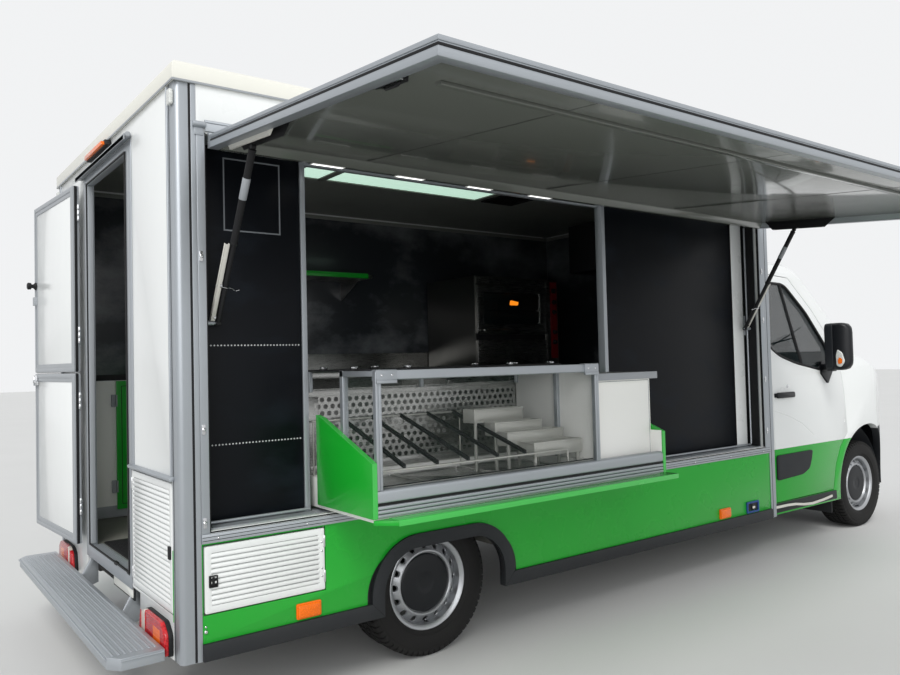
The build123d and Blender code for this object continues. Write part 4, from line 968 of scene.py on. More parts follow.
def awning_trim():
    (low_x, high_x), (low_z, high_z) = AWNING_X, AWNING_Z
    outer_y, inner_y = -HALF_W, -HALF_W + AWNING_T
    for name, finish, y0, y1, proud in (("groove", seal_black, outer_y + 17, outer_y + 25, 0.8),
            ("lip", aluminium_x, outer_y, outer_y + 13, 3), ("bead", aluminium_x, outer_y + 29, inner_y, 2)):
        trim = Form(on_awning)
        trim.box((low_x - proud, high_x + proud), (y0, y1), (low_z - proud, low_z + 1))
        trim.box((low_x - proud, low_x + 1), (y0, y1), (low_z + 1.5, high_z - 30))
        trim.box((high_x - 1, high_x + proud), (y0, y1), (low_z + 1.5, high_z - 30))
        trim.done("awning_" + name, finish, "awning", bevel=0.4 if name == "groove" else 1.2)

    # A sloping cover from the frame down to the skin, all round the underside
    frame_in, skin_in = [oblong((low_x + inset, high_x - inset), (low_z + inset, high_z - inset))
        for inset in (AWNING_EDGE_W - 2, 66)]
    cover = Form(on_awning).stack(((frame_in, inner_y - 1), (skin_in, outer_y + 19.5),
        (skin_in, outer_y + 17), (frame_in, outer_y + 17)), looped=True)
    cover.done("awning_cove", aluminium_x, "awning", smooth=20)

    # Cover over the frame by the hinge, in the awning's dark grey that is in part painted shade, with four
    # slim lamps in it
    cover = Form(on_awning).prism([(inner_y + 1.5, high_z - 1), (inner_y + 1.5, high_z - 41),
        (outer_y + 22, high_z - 70), (outer_y + 17, high_z - 70), (inner_y - 2, high_z - 38),
        (inner_y - 2, high_z - 1)], (low_x + 42, high_x - 42), "X")
    cover.done("awning_hinge_cover", awning_grey, "awning", bevel=0.6)
    rims, lamps = Form(on_awning), Form(on_awning)
    for x in (-605, -180, 233, 642):
        rims.frame(oblong((x - 78, x + 78), (high_z - 36, high_z - 4), 3),
            oblong((x - 74, x + 74), (high_z - 33, high_z - 7), 2), (inner_y, inner_y + 5))
        lamps.box((x - 75, x + 75), (inner_y, inner_y + 4), (high_z - 34, high_z - 6))
    rims.done("awning_lamp_rims", inner_white, "awning", bevel=0.6)
    lamps.done("awning_lamps", lamp_white, "awning", bevel=0.6)

    # White outer sheet, which shows with the awning shut
    inset = AWNING_EDGE_W + 3
    sheet = Form(on_awning).prism(oblong((low_x + inset, high_x - inset), (low_z + inset, high_z - inset),
        4), (outer_y - 1.2, outer_y + 0.4))
    sheet.done("awning_outer_sheet", panel_white, "awning", bevel=0.4)

    # Joints between the skin's sheets, and the stiffening bar near the outer edge
    joints = Form(on_awning)
    for x in (-440, 640, 1700):
        joints.box((x - 1.5, x + 1.5), (outer_y + 17, outer_y + 18.6), (low_z + 60, high_z - 60))
    joints.done("awning_joints", seal_black, "awning")
    bar = Form(on_awning).prism(rounded([(outer_y + 17, low_z + 246), (outer_y + 30, low_z + 246),
        (outer_y + 30, low_z + 274), (outer_y + 17, low_z + 274)], 4), (low_x + 190, high_x - 190), "X")
    bar.done("awning_bar", awning_grey, "awning", bevel=0.6)

    # A turning catch near each end of the frame
    for x, turn, name in ((low_x + 44, 1, "rear"), (high_x - 44, -1, "front")):
        catch = Form(on_awning)
        catch.prism(oblong(span(x, x + turn * 34), (1030, 1150), 10), (inner_y - 26, inner_y - 4))
        catch.tube([(x + turn * 16, inner_y - 4, 1050), (x + turn * 16, inner_y + 4, 1060),
            (x + turn * 16, inner_y + 4, 1120), (x + turn * 16, inner_y - 4, 1130)], 4, 10)
        catch.done("awning_catch_" + name, seal_black, "awning", bevel=1.5)
        Form(on_awning).box(span(x + turn * 2, x + turn * 10), (inner_y - 6, inner_y - 2),
            (1026, 1156)).done("awning_catch_plate_" + name, chrome, "awning", bevel=1)

    # Folded plates that the struts push on. Painted shade: the front plate is black and the rear one white,
    # as the front one is seen from its shaded side.
    near, far, deep = PIVOT_Z - 84, PIVOT_Z - 556, inner_y + 18
    for x, turn, finish, name in ((low_x + AWNING_EDGE_W, 1, bracket_white, "rear"),
            (high_x - AWNING_EDGE_W, -1, trim_black, "front")):
        outline = [(outer_y + 18, near), (deep, near - 60), (deep, far + 60), (outer_y + 18, far)]
        plate = Form(on_awning)
        plate.prism(outline, span(x - turn * 1.5, x + turn * 5.5), "X")
        plate.prism([(deep - 3, near - 62), (deep, near - 62), (deep, far + 62), (deep - 3, far + 62)],
            span(x, x - turn * 6), "X")
        plate.done("awning_bracket_" + name, finish, "awning", bevel=1)
        # Painted shade: the second flank of each bracket is black, standing in for the shadow that it lies
        # in.
        flank = Form(on_awning).prism([(a, b - 26) for a, b in outline], span(x + turn * 42, x + turn * 45),
            "X")
        flank.done("awning_bracket_flank_" + name, frame_black, "awning", bevel=0.8)
        bolts = Form(on_awning)
        for z in (near - 70, (near + far) / 2, far + 70):
            bolts.screw((x + turn * 5, inner_y + 12, z), (turn, 0, 0), 6, 3)
        bolts.done("awning_bracket_bolts_" + name, chrome, "awning", bevel=0.4)


def strut_line():
    """The struts' foot and top, in Y and Z, with the awning open."""
    top = turned(STRUT_Y, STRUT_TOP_Z, (PIVOT_Y, PIVOT_Z), AWNING_TURN)
    return Vector((STRUT_Y, STRUT_LOW_Z)), Vector(top)


def struts():
    low, top = strut_line()
    ahead = (top - low).normalized()
    out = Vector((-ahead.y, ahead.x))
    length = (top - low).length

    def on_strut(x, across, along):
        return at(x, *(low + ahead * along + out * across))

    for name, x, wall_x, turn in zip(("rear", "front"), STRUT_X, HATCH_X, (1, -1)):
        tube, rod = "strut_tube_" + name, "strut_rod_" + name
        band = [(length - 205, 13.8), (length - 205, 14.4), (length - 204, 15), (length - 122, 15),
            (length - 121, 14.4), (length - 121, 13.8)]
        band = Form(on_strut).lathe(band, (x, 0, 0), (0, 0, 1), 32, closed=True)
        band.done("strut_band_" + name, grey_frame, rod)
        ends = Form(on_strut)
        ends.lathe([(length - 24, 12), (length - 20, 15.2), (length - 12, 15.2), (length - 9, 9)], (x, 0, 0),
            (0, 0, 1), 28)
        ends.lathe([(length - 392, 13), (length - 391, 15.4), (length - 380, 15.4), (length - 379, 13.9)],
            (x, 0, 0), (0, 0, 1), 28)
        ends.done("strut_collars_" + name, seal_black, rod)
        # A bright channel lies beside the tube as its stay, held by a sprung pin
        near, far = x - turn * 16, x - turn * 34
        channel = Form(on_strut)
        channel.box(span(near, far), (3.5, 5.5), (12, 345))
        for wall in (near, far):
            channel.box(span(wall, wall + (2 if wall < (near + far) / 2 else -2)), (-9, 5.5), (12, 345))
        channel.done("strut_channel_" + name, bracket_white, tube, bevel=0.8)
        clip = Form(on_strut)
        clip.tube([(far - turn * 5, 0, 168), (near + turn * 0.4, 0, 168)], 3, 10)
        clip.tube([(near - turn * 4, 4, 168), (near + turn * 2, 19, 168), (x, 22, 167),
            (x + turn * 19, 14, 164), (x + turn * 30, 14, 158), (x + turn * 44, 8, 150),
            (x + turn * 56, 12, 156)], 1.8, 8)
        for along in (168, 26):
            clip.lathe([(-4, 10), (4, 10)], (near - turn * 3.4, -1.5, along), (1, 0, 0), 18)
        clip.done("strut_clip_" + name, chrome, tube)
        # Pointed plate on the wall, with its folded edge
        plate = Form()
        deep = STRUT_Y + (24 if turn > 0 else 36)
        outline = [(STRUT_Y - 23, 1690), (deep, 1690), (deep, 1556), (STRUT_Y - 4, 1512),
            (STRUT_Y - 23, 1540)]
        plate.prism(outline, span(wall_x + turn * 5, wall_x + turn * 9), "X")
        plate.prism([(deep - 4, 1556), (deep, 1556), (deep, 1690), (deep - 4, 1690)],
            span(wall_x + turn * 9, wall_x + turn * 30), "X")
        plate.done("strut_plate_" + name, bracket_white if name == "rear" else grey_frame, bevel=1)


awning_trim()
struts()


# Display counter

def display_case():
    front, post = DISPLAY_FRONT_Y, 26
    rear_x, front_x = CASE_X
    back = CASE_TOP_BACK_Y
    metal = Form()
    # Each corner post is a pair of square tubes with a groove between them
    for x in (rear_x, front_x - post):
        for half in (0, 14):
            metal.prism(oblong((x + half, x + half + 12), (front, front + 24), 2.5),
                (DECK_Z, CASE_TOP_Z - 4), "Z")
        metal.prism(oblong((x + 4, x + 22), (front + 3, front + 21)), (DECK_Z, CASE_TOP_Z - 6), "Z")
        metal.prism(oblong((x, x + post), (back, back + post), 3), (DECK_Z, CASE_TOP_Z), "Z")
        metal.prism(oblong((x, x + post), (CASE_TOP_Z - 24, CASE_TOP_Z - 2), 3), (front + 20, back + 4), "Y")
    metal = metal.done("case_posts", aluminium_z, "display", bevel=0.7)
    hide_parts("display_frame")
    rails = Form()
    rails.prism(rounded([(front, CASE_TOP_Z - 36), (front + 8, CASE_TOP_Z - 40),
        (front + 26, CASE_TOP_Z - 36), (front + 30, CASE_TOP_Z - 4), (front + 2, CASE_TOP_Z)], 3),
        (rear_x + 26, front_x - 26), "X")
    rails.prism(oblong((back, back + 26), (CASE_TOP_Z - 25, CASE_TOP_Z), 3), CASE_X, "X")
    rails.done("case_rails", aluminium_x, "display", bevel=0.6)
    clamps = Form()
    for reach in ((rear_x + 2, rear_x + 96), (front_x - 96, front_x - 2)):
        clamps.prism(oblong((front - 5, front + 32), (CASE_TOP_Z - 42, CASE_TOP_Z + 3), 5), reach, "X")
        clamps.prism(oblong((front - 7, front + 4), (CASE_TOP_Z - 52, CASE_TOP_Z - 38), 3), reach, "X")
    clamps.done("case_clamps", aluminium_x, "display", bevel=1.2)
    screws = Form()
    for x in (rear_x + 26, rear_x + 74, front_x - 74, front_x - 26):
        screws.screw((x, front - 5, CASE_TOP_Z - 20), (0, -1, 0), 5, 2.4)
    screws.done("case_clamp_screws", chrome, "display", bevel=0.3)

    # Foot: a round rail, a dark groove, and a ribbed profile
    full_x = (rear_x, DISPLAY_X[1] - 20)
    foot = Form()
    foot.prism(rounded([(front, 884), (front + 4, 880), (front + 40, 880), (front + 40, DECK_Z + 2),
        (front + 8, DECK_Z + 2), (front, DECK_Z - 8)], 9, 5), full_x, "X")
    foot.prism(oblong((front + 6, front + 22), (870, 882)), full_x, "X")
    foot.done("case_foot_rail", aluminium_x, "display", bevel=0.6, smooth=50)
    Form().box(full_x, (front + 3, front + 8), (871, 881)).done("case_foot_groove", seal_black, "display")
    rib = Form().prism(rounded([(front, 823), (front, 837), (front + 22, 837), (front + 22, 823)], 4, 3),
        full_x, "X")
    in_rows(rib, "case_foot_ribs", aluminium_x, "display", rows=3, up=(0, 0, 16.2), bevel=0.3, smooth=50)

    # Chrome feet on the top, and the dark top sheet that they stand on
    Form().prism(oblong((rear_x + 4, front_x - 4), (back - 20, DISPLAY_BACK_Y - 12), 12),
        (CASE_TOP_Z - 3, CASE_TOP_Z + 5), "Z").done("case_top", frame_black, "display", bevel=1.5)
    feet = Form()
    for x in (rear_x + 60, rear_x + 330, front_x - 330, front_x - 60):
        for y in (back + 8, DISPLAY_BACK_Y - 60):
            feet.lathe([(0, 18), (3, 19), (9, 19), (12, 15)], (x, y, CASE_TOP_Z + 5), (0, 0, 1), 24)
    feet.done("case_top_feet", chrome, "display")
    legs = Form()
    for x in (rear_x + 14, 0, front_x - 14):
        legs.prism(oblong((x - 9, x + 9), (DISPLAY_BACK_Y - 30, DISPLAY_BACK_Y - 12), 3),
            (1300, CASE_TOP_Z - 2), "Z")
    legs.done("case_back_legs", aluminium_z, "display", bevel=0.5)


def perforated_screen():
    """A flat cell with a round hole, repeated in staggered rows and thickened."""
    pitch, rise, hole_r, columns, count = 36, 31, 11.5, 33, 10
    first_x, first_z, y = CASE_X[0] + 60, 984, DISPLAY_BACK_Y - 6
    half, half_z = pitch / 2, rise / 2
    border = [(-half, -half_z), (0, -half_z), (half, -half_z), (half, 0), (half, half_z), (0, half_z),
        (-half, half_z), (-half, 0)]
    cell = Form()
    outer = cell.ring([(first_x + a, y, first_z + b) for a, b in border])
    turns = [math.atan2(b, a) for a, b in border]
    hole = []
    for turn, after in zip(turns, turns[1:] + turns[:1]):
        after += 2 * math.pi if after < turn else 0
        hole += [turn, (turn + after) / 2]
    hole = cell.ring([(first_x + hole_r * math.cos(a), y, first_z + hole_r * math.sin(a)) for a in hole])
    for n in range(len(outer)):
        ends = (2 * n, 2 * n + 1, (2 * n + 2) % len(hole))
        cell.mesh.faces.new([outer[n], outer[(n + 1) % len(outer)], *[hole[k] for k in reversed(ends)]])
    in_rows(cell, "screen_holes", stainless, "display", columns, count, (pitch, 0, 0), (0, 0, rise),
        (half, 0, 0), weld=0.02, wall=1.5)
    low_x, high_x = first_x - half, first_x + (columns - 1) * pitch + half
    low_z, high_z = first_z - half_z, first_z + (count - 0.5) * rise
    sheet = Form()
    thick = (y - 0.75, y + 0.75)
    sheet.box(CASE_X, thick, (DECK_Z, low_z))
    sheet.box(CASE_X, thick, (high_z, 1312))
    sheet.box((CASE_X[0], low_x + half), (y + 0.8, y + 2.2), (low_z, high_z))
    sheet.box((min(high_x, CASE_X[1] - 8), CASE_X[1]), (y + 0.8, y + 2.2), (low_z, high_z))
    sheet.prism([(y - 12, 1310), (y - 12, 1312.5), (y + 4, 1312.5), (y + 4, 1310)], CASE_X, "X")
    sheet.done("screen_sheet", stainless, "display", bevel=0.3)


# The stepped stands on the tray: X from and to, Y from and to, top Z
STANDS = ((162, 479, -1130, -1040, 1186), (224, 533, -1210, -1130, 1124), (232, 599, -1290, -1210, 1081),
    (300, 616, -1400, -1290, 1034))


def display_inside():
    """Folded stands, dark dividers, tray and the white end panel."""
    stands = Form()
    for x0, x1, y0, y1, top in STANDS:
        stands.box((x0, x1), (y0, y1 - 1), (top - 66, top - 5))
        stands.frame(oblong((x0 - 2, x1 + 2), (y0 - 2, y1 - 1), 3),
            oblong((x0 + 4, x1 - 4), (y0 + 4, y1 - 7), 2), (top - 8, top), "Z")
        stands.prism(oblong((x0 + 14, x1 - 14), (top - 56, top - 16), 6), (y0 - 1.5, y0 + 1))
        for x in (x0 + 12, x1 - 24):
            stands.box((x, x + 12), (y0 + 10, y0 + 22), (TRAY_Z + 4, top - 64))
    stands.done("case_stands", tray_steel, "display", bevel=1)
    # Five dark bars lean from the back rail to the front rail of the rack
    (back_y, back_z), (front_y, front_z) = (-934, 1180), (-1425, 1000)
    dividers, rails = Form(), Form()
    for n in range(5):
        ends = [(-450 + 157 * n, back_y, back_z - 8), (-441 + 166 * n, front_y, front_z)]
        dividers.loft([[(x + a, y, z + b) for a, b in ((-6, -9), (6, -9), (6, 9), (-6, 9))]
            for x, y, z in ends])
    dividers.done("case_dividers", frame_black, "display", bevel=1.5)
    for x, y, z in (((CASE_X[0] + 10, 230), back_y, back_z), ((CASE_X[0] + 10, 500), front_y, front_z)):
        rails.prism(oblong((y - 7, y + 7), (z - 14, z - 6), 2), x, "X")
        for leg in (x[0] + 8, x[1] - 8):
            rails.tube([(leg, y, z - 12), (leg, y, TRAY_Z + 2)], 4, 8)
    rails.done("case_rack_rails", tray_steel, "display", bevel=0.6)
    tray = Form()
    for n in range(3):
        low = CASE_X[0] + 34 + n * 396
        tray.frame(oblong((low, low + 388), (-1424, -936), 14),
            oblong((low + 10, low + 378), (-1414, -946), 10), (TRAY_Z + 26, TRAY_Z + 36), "Z")
        tray.prism(oblong((low + 8, low + 380), (-1416, -944), 10), (TRAY_Z + 24, TRAY_Z + 27), "Z")
    tray.done("case_trays", stainless, "display", bevel=1)
    Form().box((CASE_X[1] - 8, CASE_X[1] - 2), (-1466, DISPLAY_BACK_Y - 10),
        (DECK_Z + 2, CASE_TOP_Z - 34)).done("case_end_panel", inner_white, "display", bevel=1)
    seal = Form().box((CASE_X[0] + 12, CASE_X[1] - 12), (-1462, -1458), (DECK_Z + 4, DECK_Z + 9))
    seal.done("case_glass_seal", seal_black, "display")


def display_outside():
    """Green edging of the cheeks and the ledge, the worktop, and the cupboard's joint and green side."""
    rear_x, front_x = DISPLAY_X
    edge = Form()
    outline = [(DISPLAY_FRONT_Y - 1, 1036), (-1090, 1196), (-1041, 1206), (-1041, 1203), (-1090, 1193),
        (DISPLAY_FRONT_Y + 2, 1034), (DISPLAY_FRONT_Y + 2, 823), (DISPLAY_FRONT_Y - 1, 823)]
    for x in (rear_x, front_x - 20):
        edge.prism(outline, (x - 0.5, x + 20.5), "X")
    edge.done("cheek_edging", edge_green, "display")
    lip = Form().prism(rounded([(-1574.5, 799), (-1574.5, 821), (-1570, 823), (-1500, 822), (-1500, 819),
        (-1570, 819), (-1571, 799)], 1, 2), (rear_x + 70, front_x + 6), "X")
    lip.prism([(-1566, 820), (-1505, 820), (-1505, 821.2), (-1566, 821.2)], (rear_x + 70, front_x + 4), "X")
    lip.done("ledge_lip", edge_green, "display", bevel=0.5)
    Form().screw((rear_x + 14, DISPLAY_FRONT_Y - 2, 812), (0, -1, 0), 7, 5).done("ledge_bolt", chrome,
        "display", bevel=0.4)
    Form().box((front_x - 22, front_x - 19.5), (-1494, -1044), (826, 1040)).done("front_cheek_inner",
        inner_white, "display", bevel=0.4)
    cupboard_y = DISPLAY_FRONT_Y + 72
    trim = Form()
    trim.prism(rounded([(DISPLAY_FRONT_Y + 36, 1310), (DISPLAY_FRONT_Y + 36, 1346),
        (DISPLAY_FRONT_Y + 42, 1346), (DISPLAY_FRONT_Y + 42, 1310)], 2), (CASE_X[1] + 4, front_x - 1), "X")
    trim.box((front_x - 4, front_x + 1), (DISPLAY_FRONT_Y + 38, DISPLAY_BACK_Y), (1311, 1344))
    trim.done("worktop_edge", grey_frame, "display", bevel=1)
    top = Form().box((CASE_X[1] + 6, front_x - 4), (DISPLAY_FRONT_Y + 44, DISPLAY_BACK_Y + 2), (1341, 1345))
    top.done("worktop", ceiling_grey, "display", bevel=1)
    Form().frame(oblong((CASE_X[1] + 10, front_x - 30), (858, 1304), 4),
        oblong((CASE_X[1] + 13, front_x - 33), (861, 1301), 3),
        (cupboard_y - 0.8, cupboard_y + 1)).done("cupboard_joint", grey_frame, "display")
    Form().box((front_x - 24, front_x - 21), (cupboard_y + 2, DISPLAY_BACK_Y),
        (1050, 1306)).done("cupboard_green_side", panel_green, "display", bevel=0.5)


display_case()
perforated_screen()
display_inside()
display_outside()


# Oven and kitchen

def oven():
    """Two decks with framed doors, a bright corner strip and the control panel."""
    (left, right), (low, high), face = OVEN_X, OVEN_Z, OVEN_FRONT_Y
    decks_x = (left + 12, right - 152)
    doors = Form()
    doors.frame(oblong(decks_x, (1622, 1990), 8), oblong((decks_x[0] + 60, decks_x[1] - 60), (1700, 1940),
        6), (face - 18, face + 2))
    doors.prism(oblong(decks_x, (1402, 1578), 6), (face - 14, face + 2))
    doors.prism(oblong((decks_x[0] + 16, decks_x[1] - 16), (1500, 1512), 4), (face - 20, face - 12))
    doors.prism(oblong(decks_x, (2004, 2052), 5), (face - 10, face + 2))
    doors.tube([(decks_x[0] + 40, face - 46, 1650), (decks_x[1] - 40, face - 46, 1650)], 9, 14)
    for x in (decks_x[0] + 70, decks_x[1] - 70):
        doors.box((x - 8, x + 8), (face - 46, face - 14), (1642, 1658))
    doors.done("oven_doors", stainless, bevel=1.5)
    # Painted shade: a black strip fills the gap between the decks, standing in for the shadow in it.
    gap = Form().box(decks_x, (face - 4, face + 1), (1580, 1620))
    gap.done("oven_gap", seal_black)
    pane = Form().box((decks_x[0] + 56, decks_x[1] - 56), (face - 8, face - 4), (1696, 1944))
    pane.done("oven_pane", glass_tinted)
    glow = Form().prism(rounded([(1790, 1846), (1872, 1846), (1880, 1872), (1798, 1884)], 8),
        (face + 2, face + 8))
    glow.done("oven_lamp", oven_glow, bevel=1)
    racks = Form().box((decks_x[0] + 60, decks_x[1] - 70), (face + 4, face + 8), (1802, 1808))
    for n in range(14):
        x = decks_x[0] + 72 + n * 41
        racks.tube([(x, face + 6, 1806), (x, face + 150, 1806)], 3, 6)
    racks.done("oven_racks", chrome)
    corner = Form().prism(oblong((right - 140, right - 100), (low + 14, high - 14), 4), (face - 14, face + 2))
    corner.done("oven_corner_strip", stainless, bevel=1.5)
    Form().prism(oblong((right - 86, right - 14), (low + 60, high - 20), 5),
        (face - 6, face + 2)).done("oven_controls", panel_red, bevel=1)
    knobs = Form()
    for z in (1560, 1640, 1800, 1880):
        knobs.lathe([(0, 20), (4, 20), (6, 15), (22, 13), (24, 10)], (right - 50, face - 6, z), (0, -1, 0),
            24)
    knobs.prism(oblong((right - 72, right - 28), (1950, 1990), 4), (face - 10, face - 5))
    knobs.done("oven_knobs", seal_black, bevel=0.8)


def kitchen():
    """The shelf's green edge and brackets, a dark box on the front wall, and the cupboards' fronts."""
    Form().prism(oblong((-470, 720), (2036, 2070), 3), (752, 760)).done("shelf_edge", panel_green, bevel=1)
    brackets = Form()
    for x in (-400, 130, 660):
        brackets.prism([(1064, 2040), (780, 2040), (780, 2030), (1040, 1900), (1064, 1900)], (x, x + 4), "X")
    brackets.done("shelf_brackets", stainless, bevel=0.8)
    box = Form().prism(oblong((2500, 2760), (2130, 2520), 6), (200, 480))
    box.prism(oblong((2520, 2740), (2150, 2500), 4), (196, 202))
    box.done("front_wall_box", frame_black, bevel=3)
    fronts = Form()
    for n in range(5):
        low = 1200 + n * 292
        fronts.prism(oblong((low, low + 284), (560, 1290), 6), (452, 459))
        fronts.tube([(low + 40, 440, 1250), (low + 244, 440, 1250)], 6, 10)
    fronts.done("kitchen_fronts", stainless, bevel=1.5)


oven()
kitchen()


# Shop body trim

def both_sides(make):
    """Makes a piece on the right and on the left; make takes the side's sign and a name."""
    for side, name in ((-1, "right"), (1, "left")):
        make(side, name)


def post_trim(side, name):
    """Dark grooves and bright edges down the corner posts, and the sill rail's grooves and screws."""
    out = side * HALF_W
    groove = Form()
    for x in ((BOX_REAR_X + 53, BOX_REAR_X + 62), (BOX_FRONT_X - 62, BOX_FRONT_X - 53)):
        groove.box(x, span(out - side * 3, out + side * 0.6), (302, WALL_TOP_Z - 12))
    groove.box((BOX_REAR_X - 0.6, BOX_REAR_X + 3), span(side * (HALF_W - 66), side * (HALF_W - 62)),
        (302, WALL_TOP_Z - 12))
    groove.done("post_groove_" + name, seal_black)
    edge = Form()
    for x in (BOX_REAR_X + 62, BOX_FRONT_X - 82):
        edge.prism(oblong((x, x + 20), span(out - side * 2, out + side * 3), 1.5), (300, WALL_TOP_Z - 12),
            "Z")
    edge.done("post_edge_" + name, aluminium_z, bevel=0.6)
    rail_out = side * (HALF_W + 10)
    lines, heads = Form(), Form()
    for z in (755, 768):
        lines.box((BOX_REAR_X + POST_W + 1, BOX_FRONT_X - POST_W - 1),
            span(rail_out - side * 2, rail_out + side * 0.5), (z, z + 2.2))
    lines.done("sill_grooves_" + name, seal_black)
    for n in range(11):
        heads.screw((-1100 + n * 378, rail_out, 762), (0, side, 0), 4.5, 2.2)
    heads.done("sill_screws_" + name, chrome, bevel=0.3)


def side_lamps(side, name):
    out = side * HALF_W
    bodies, lenses = Form(), Form()
    for x in ((-776, -663), (2168, 2285)):
        bodies.prism(rounded([(x[0], 374), (x[1], 374), (x[1], 438), (x[0], 438)], 8),
            span(out, out + side * 7))
        lenses.stack([(oblong((x[0] + inset, x[1] - inset), (374 + inset, 438 - inset), 6),
            out + side * depth) for depth, inset in ((5, 5), (13, 5), (16, 9))])
    bodies.done("side_lamp_bodies_" + name, lens_orange, bevel=1)
    lenses.done("side_lamps_" + name, lens_orange, bevel=1)


def flare_joints(side, name):
    """The mitre on each side of the wheel, where the arch moulding meets the skirt."""
    out = side * (HALF_W + 14)
    joints = Form()
    for turn in (1, -1):
        joints.tube([(turn * 354, out, 302), (turn * 416, out, 366)], 1.4, 6)
    joints.done("flare_joints_" + name, seal_black)


for trim in (post_trim, side_lamps, flare_joints):
    both_sides(trim)


def hatch_trim():
    """Strips beside the hatch with their clasps, the hinge's rail, the seals, the bead and the threshold."""
    out = -HALF_W
    strips = Form()
    for x in ((BOX_REAR_X + POST_W + 1, HATCH_X[0] - 1), (HATCH_X[1] + 1, BOX_FRONT_X - POST_W - 1)):
        strips.prism(oblong(x, (out - 4, out + 2), 2), (782, 2346), "Z")
    strips.done("hatch_strips", aluminium_z, bevel=0.8)
    head = Form()
    head.prism(rounded([(out - 10, 2382), (out - 10, 2390), (out + 1, 2396), (out + 1, 2382)], 2), HATCH_X,
        "X")
    for x in ((-1180, -1128), (2718, 2770)):
        head.lathe([(0, 9), (2, 12), (50, 12), (52, 9)], (x[0], out - 8, 2372), (1, 0, 0), 24)
        head.prism(oblong((x[0] + 8, x[1] - 8), (out - 6, out + 1), 2), (2330, 2372), "Z")
    head.done("hatch_hinge_rail", aluminium_x, bevel=0.8)
    seals = Form()
    for x in (HATCH_X[0] - 4, HATCH_X[1] - 4):
        seals.box((x, x + 8), (out - 1, out + 12), (HATCH_Z[0] - 6, HATCH_Z[1] + 4))
    seals.box(HATCH_X, (out - 1, out + 10), (HATCH_Z[0] - 8, HATCH_Z[0] - 2))
    for x in ((-1128, -1120), (2710, 2718)):
        seals.box(x, (-1062, BOARD_Y - 2), (HATCH_Z[0] + 2, HATCH_Z[1] - 4))
    seals.done("hatch_seals", seal_black, bevel=1)
    bead = Form()
    for run in ([(-1117, 2300), (-1117, 812), (-1110, 803), (DISPLAY_X[0] - 18, 803)],
            [(DISPLAY_X[1] + 18, 803), (2698, 803), (2706, 812), (2706, 2300)]):
        bead.tube([(x, BOARD_Y - 22, z) for x, z in run], 6, 10)
    bead.done("hatch_bead", aluminium_x)
    clasps = Form()
    for x, heights in ((-1152, (1855, 1183, 824)), (2742, (1990, 1655, 1250, 900))):
        for z in heights:
            clasps.prism(oblong((x - 7, x + 7), (z - 20, z + 20), 5), (out - 8, out - 3))
            clasps.screw((x, out - 8, z), (0, -1, 0), 8, 5)
    clasps.screw((-1152, out, 409), (0, -1, 0), 8, 6)
    clasps.screw((-1152, out, 428), (0, -1, 0), 5, 4)
    clasps.done("hatch_clasps", chrome, bevel=0.6)
    threshold = Form()
    for x in ((-1128, DISPLAY_X[0] - 20), (DISPLAY_X[1] + 20, 2716)):
        threshold.prism(oblong((-1064, BOARD_Y - 1), (HATCH_Z[0] - 1, HATCH_Z[0] + 3), 1.5), x, "X")
    threshold.done("hatch_threshold", aluminium_x, bevel=0.6)


def board_lines():
    """Painted frame and dotted rules, without words, on the rear menu board."""
    lines = Form()
    depth = (BOARD_Y - 0.8, BOARD_Y + 0.2)
    lines.frame(oblong((-1014, -762), (1984, 2288)), oblong((-1008, -768), (1990, 2282)), depth)
    lines.done("board_frame_line", chalk)
    dot = Form().prism([(-1093, 1511), (-1089, 1507), (-1085, 1511), (-1089, 1515)], depth)
    in_rows(dot, "board_dots", chalk_bright, columns=29, rows=2, across=(14.4, 0, 0), up=(0, 0, -404))


def board_edges():
    edges = Form()
    for x in (-668, 1286, 2565, 2700):
        edges.prism(oblong((x - 4, x + 4), (BOARD_Y - 3, BOARD_Y + 1), 1), (HATCH_Z[0] + 2, 2328), "Z")
    edges.done("board_edges", seal_black, bevel=0.5)


def power_inlet():
    """Blue mains socket low at the front, with its sprung lid."""
    out = -HALF_W
    frame = Form().frame(oblong((2471, 2612), (370, 444), 6), oblong((2484, 2599), (382, 432), 5),
        (out - 9, out + 1))
    frame.done("inlet_frame", socket_blue, bevel=1.5)
    lid = Form().prism(oblong((2486, 2597), (384, 430), 4), (out - 3, out + 1))
    lid.lathe([(0, 20), (5, 20), (7, 17)], (2541, out - 3, 405), (0, -1, 0), 24)
    lid.prism(oblong((2516, 2566), (424, 434), 2), (out - 8, out - 2))
    lid.done("inlet_lid", cap_black, bevel=1)
    Form().box((2528, 2556), (out - 13, out - 9), (398, 412)).done("inlet_catch", bracket_white, bevel=1)


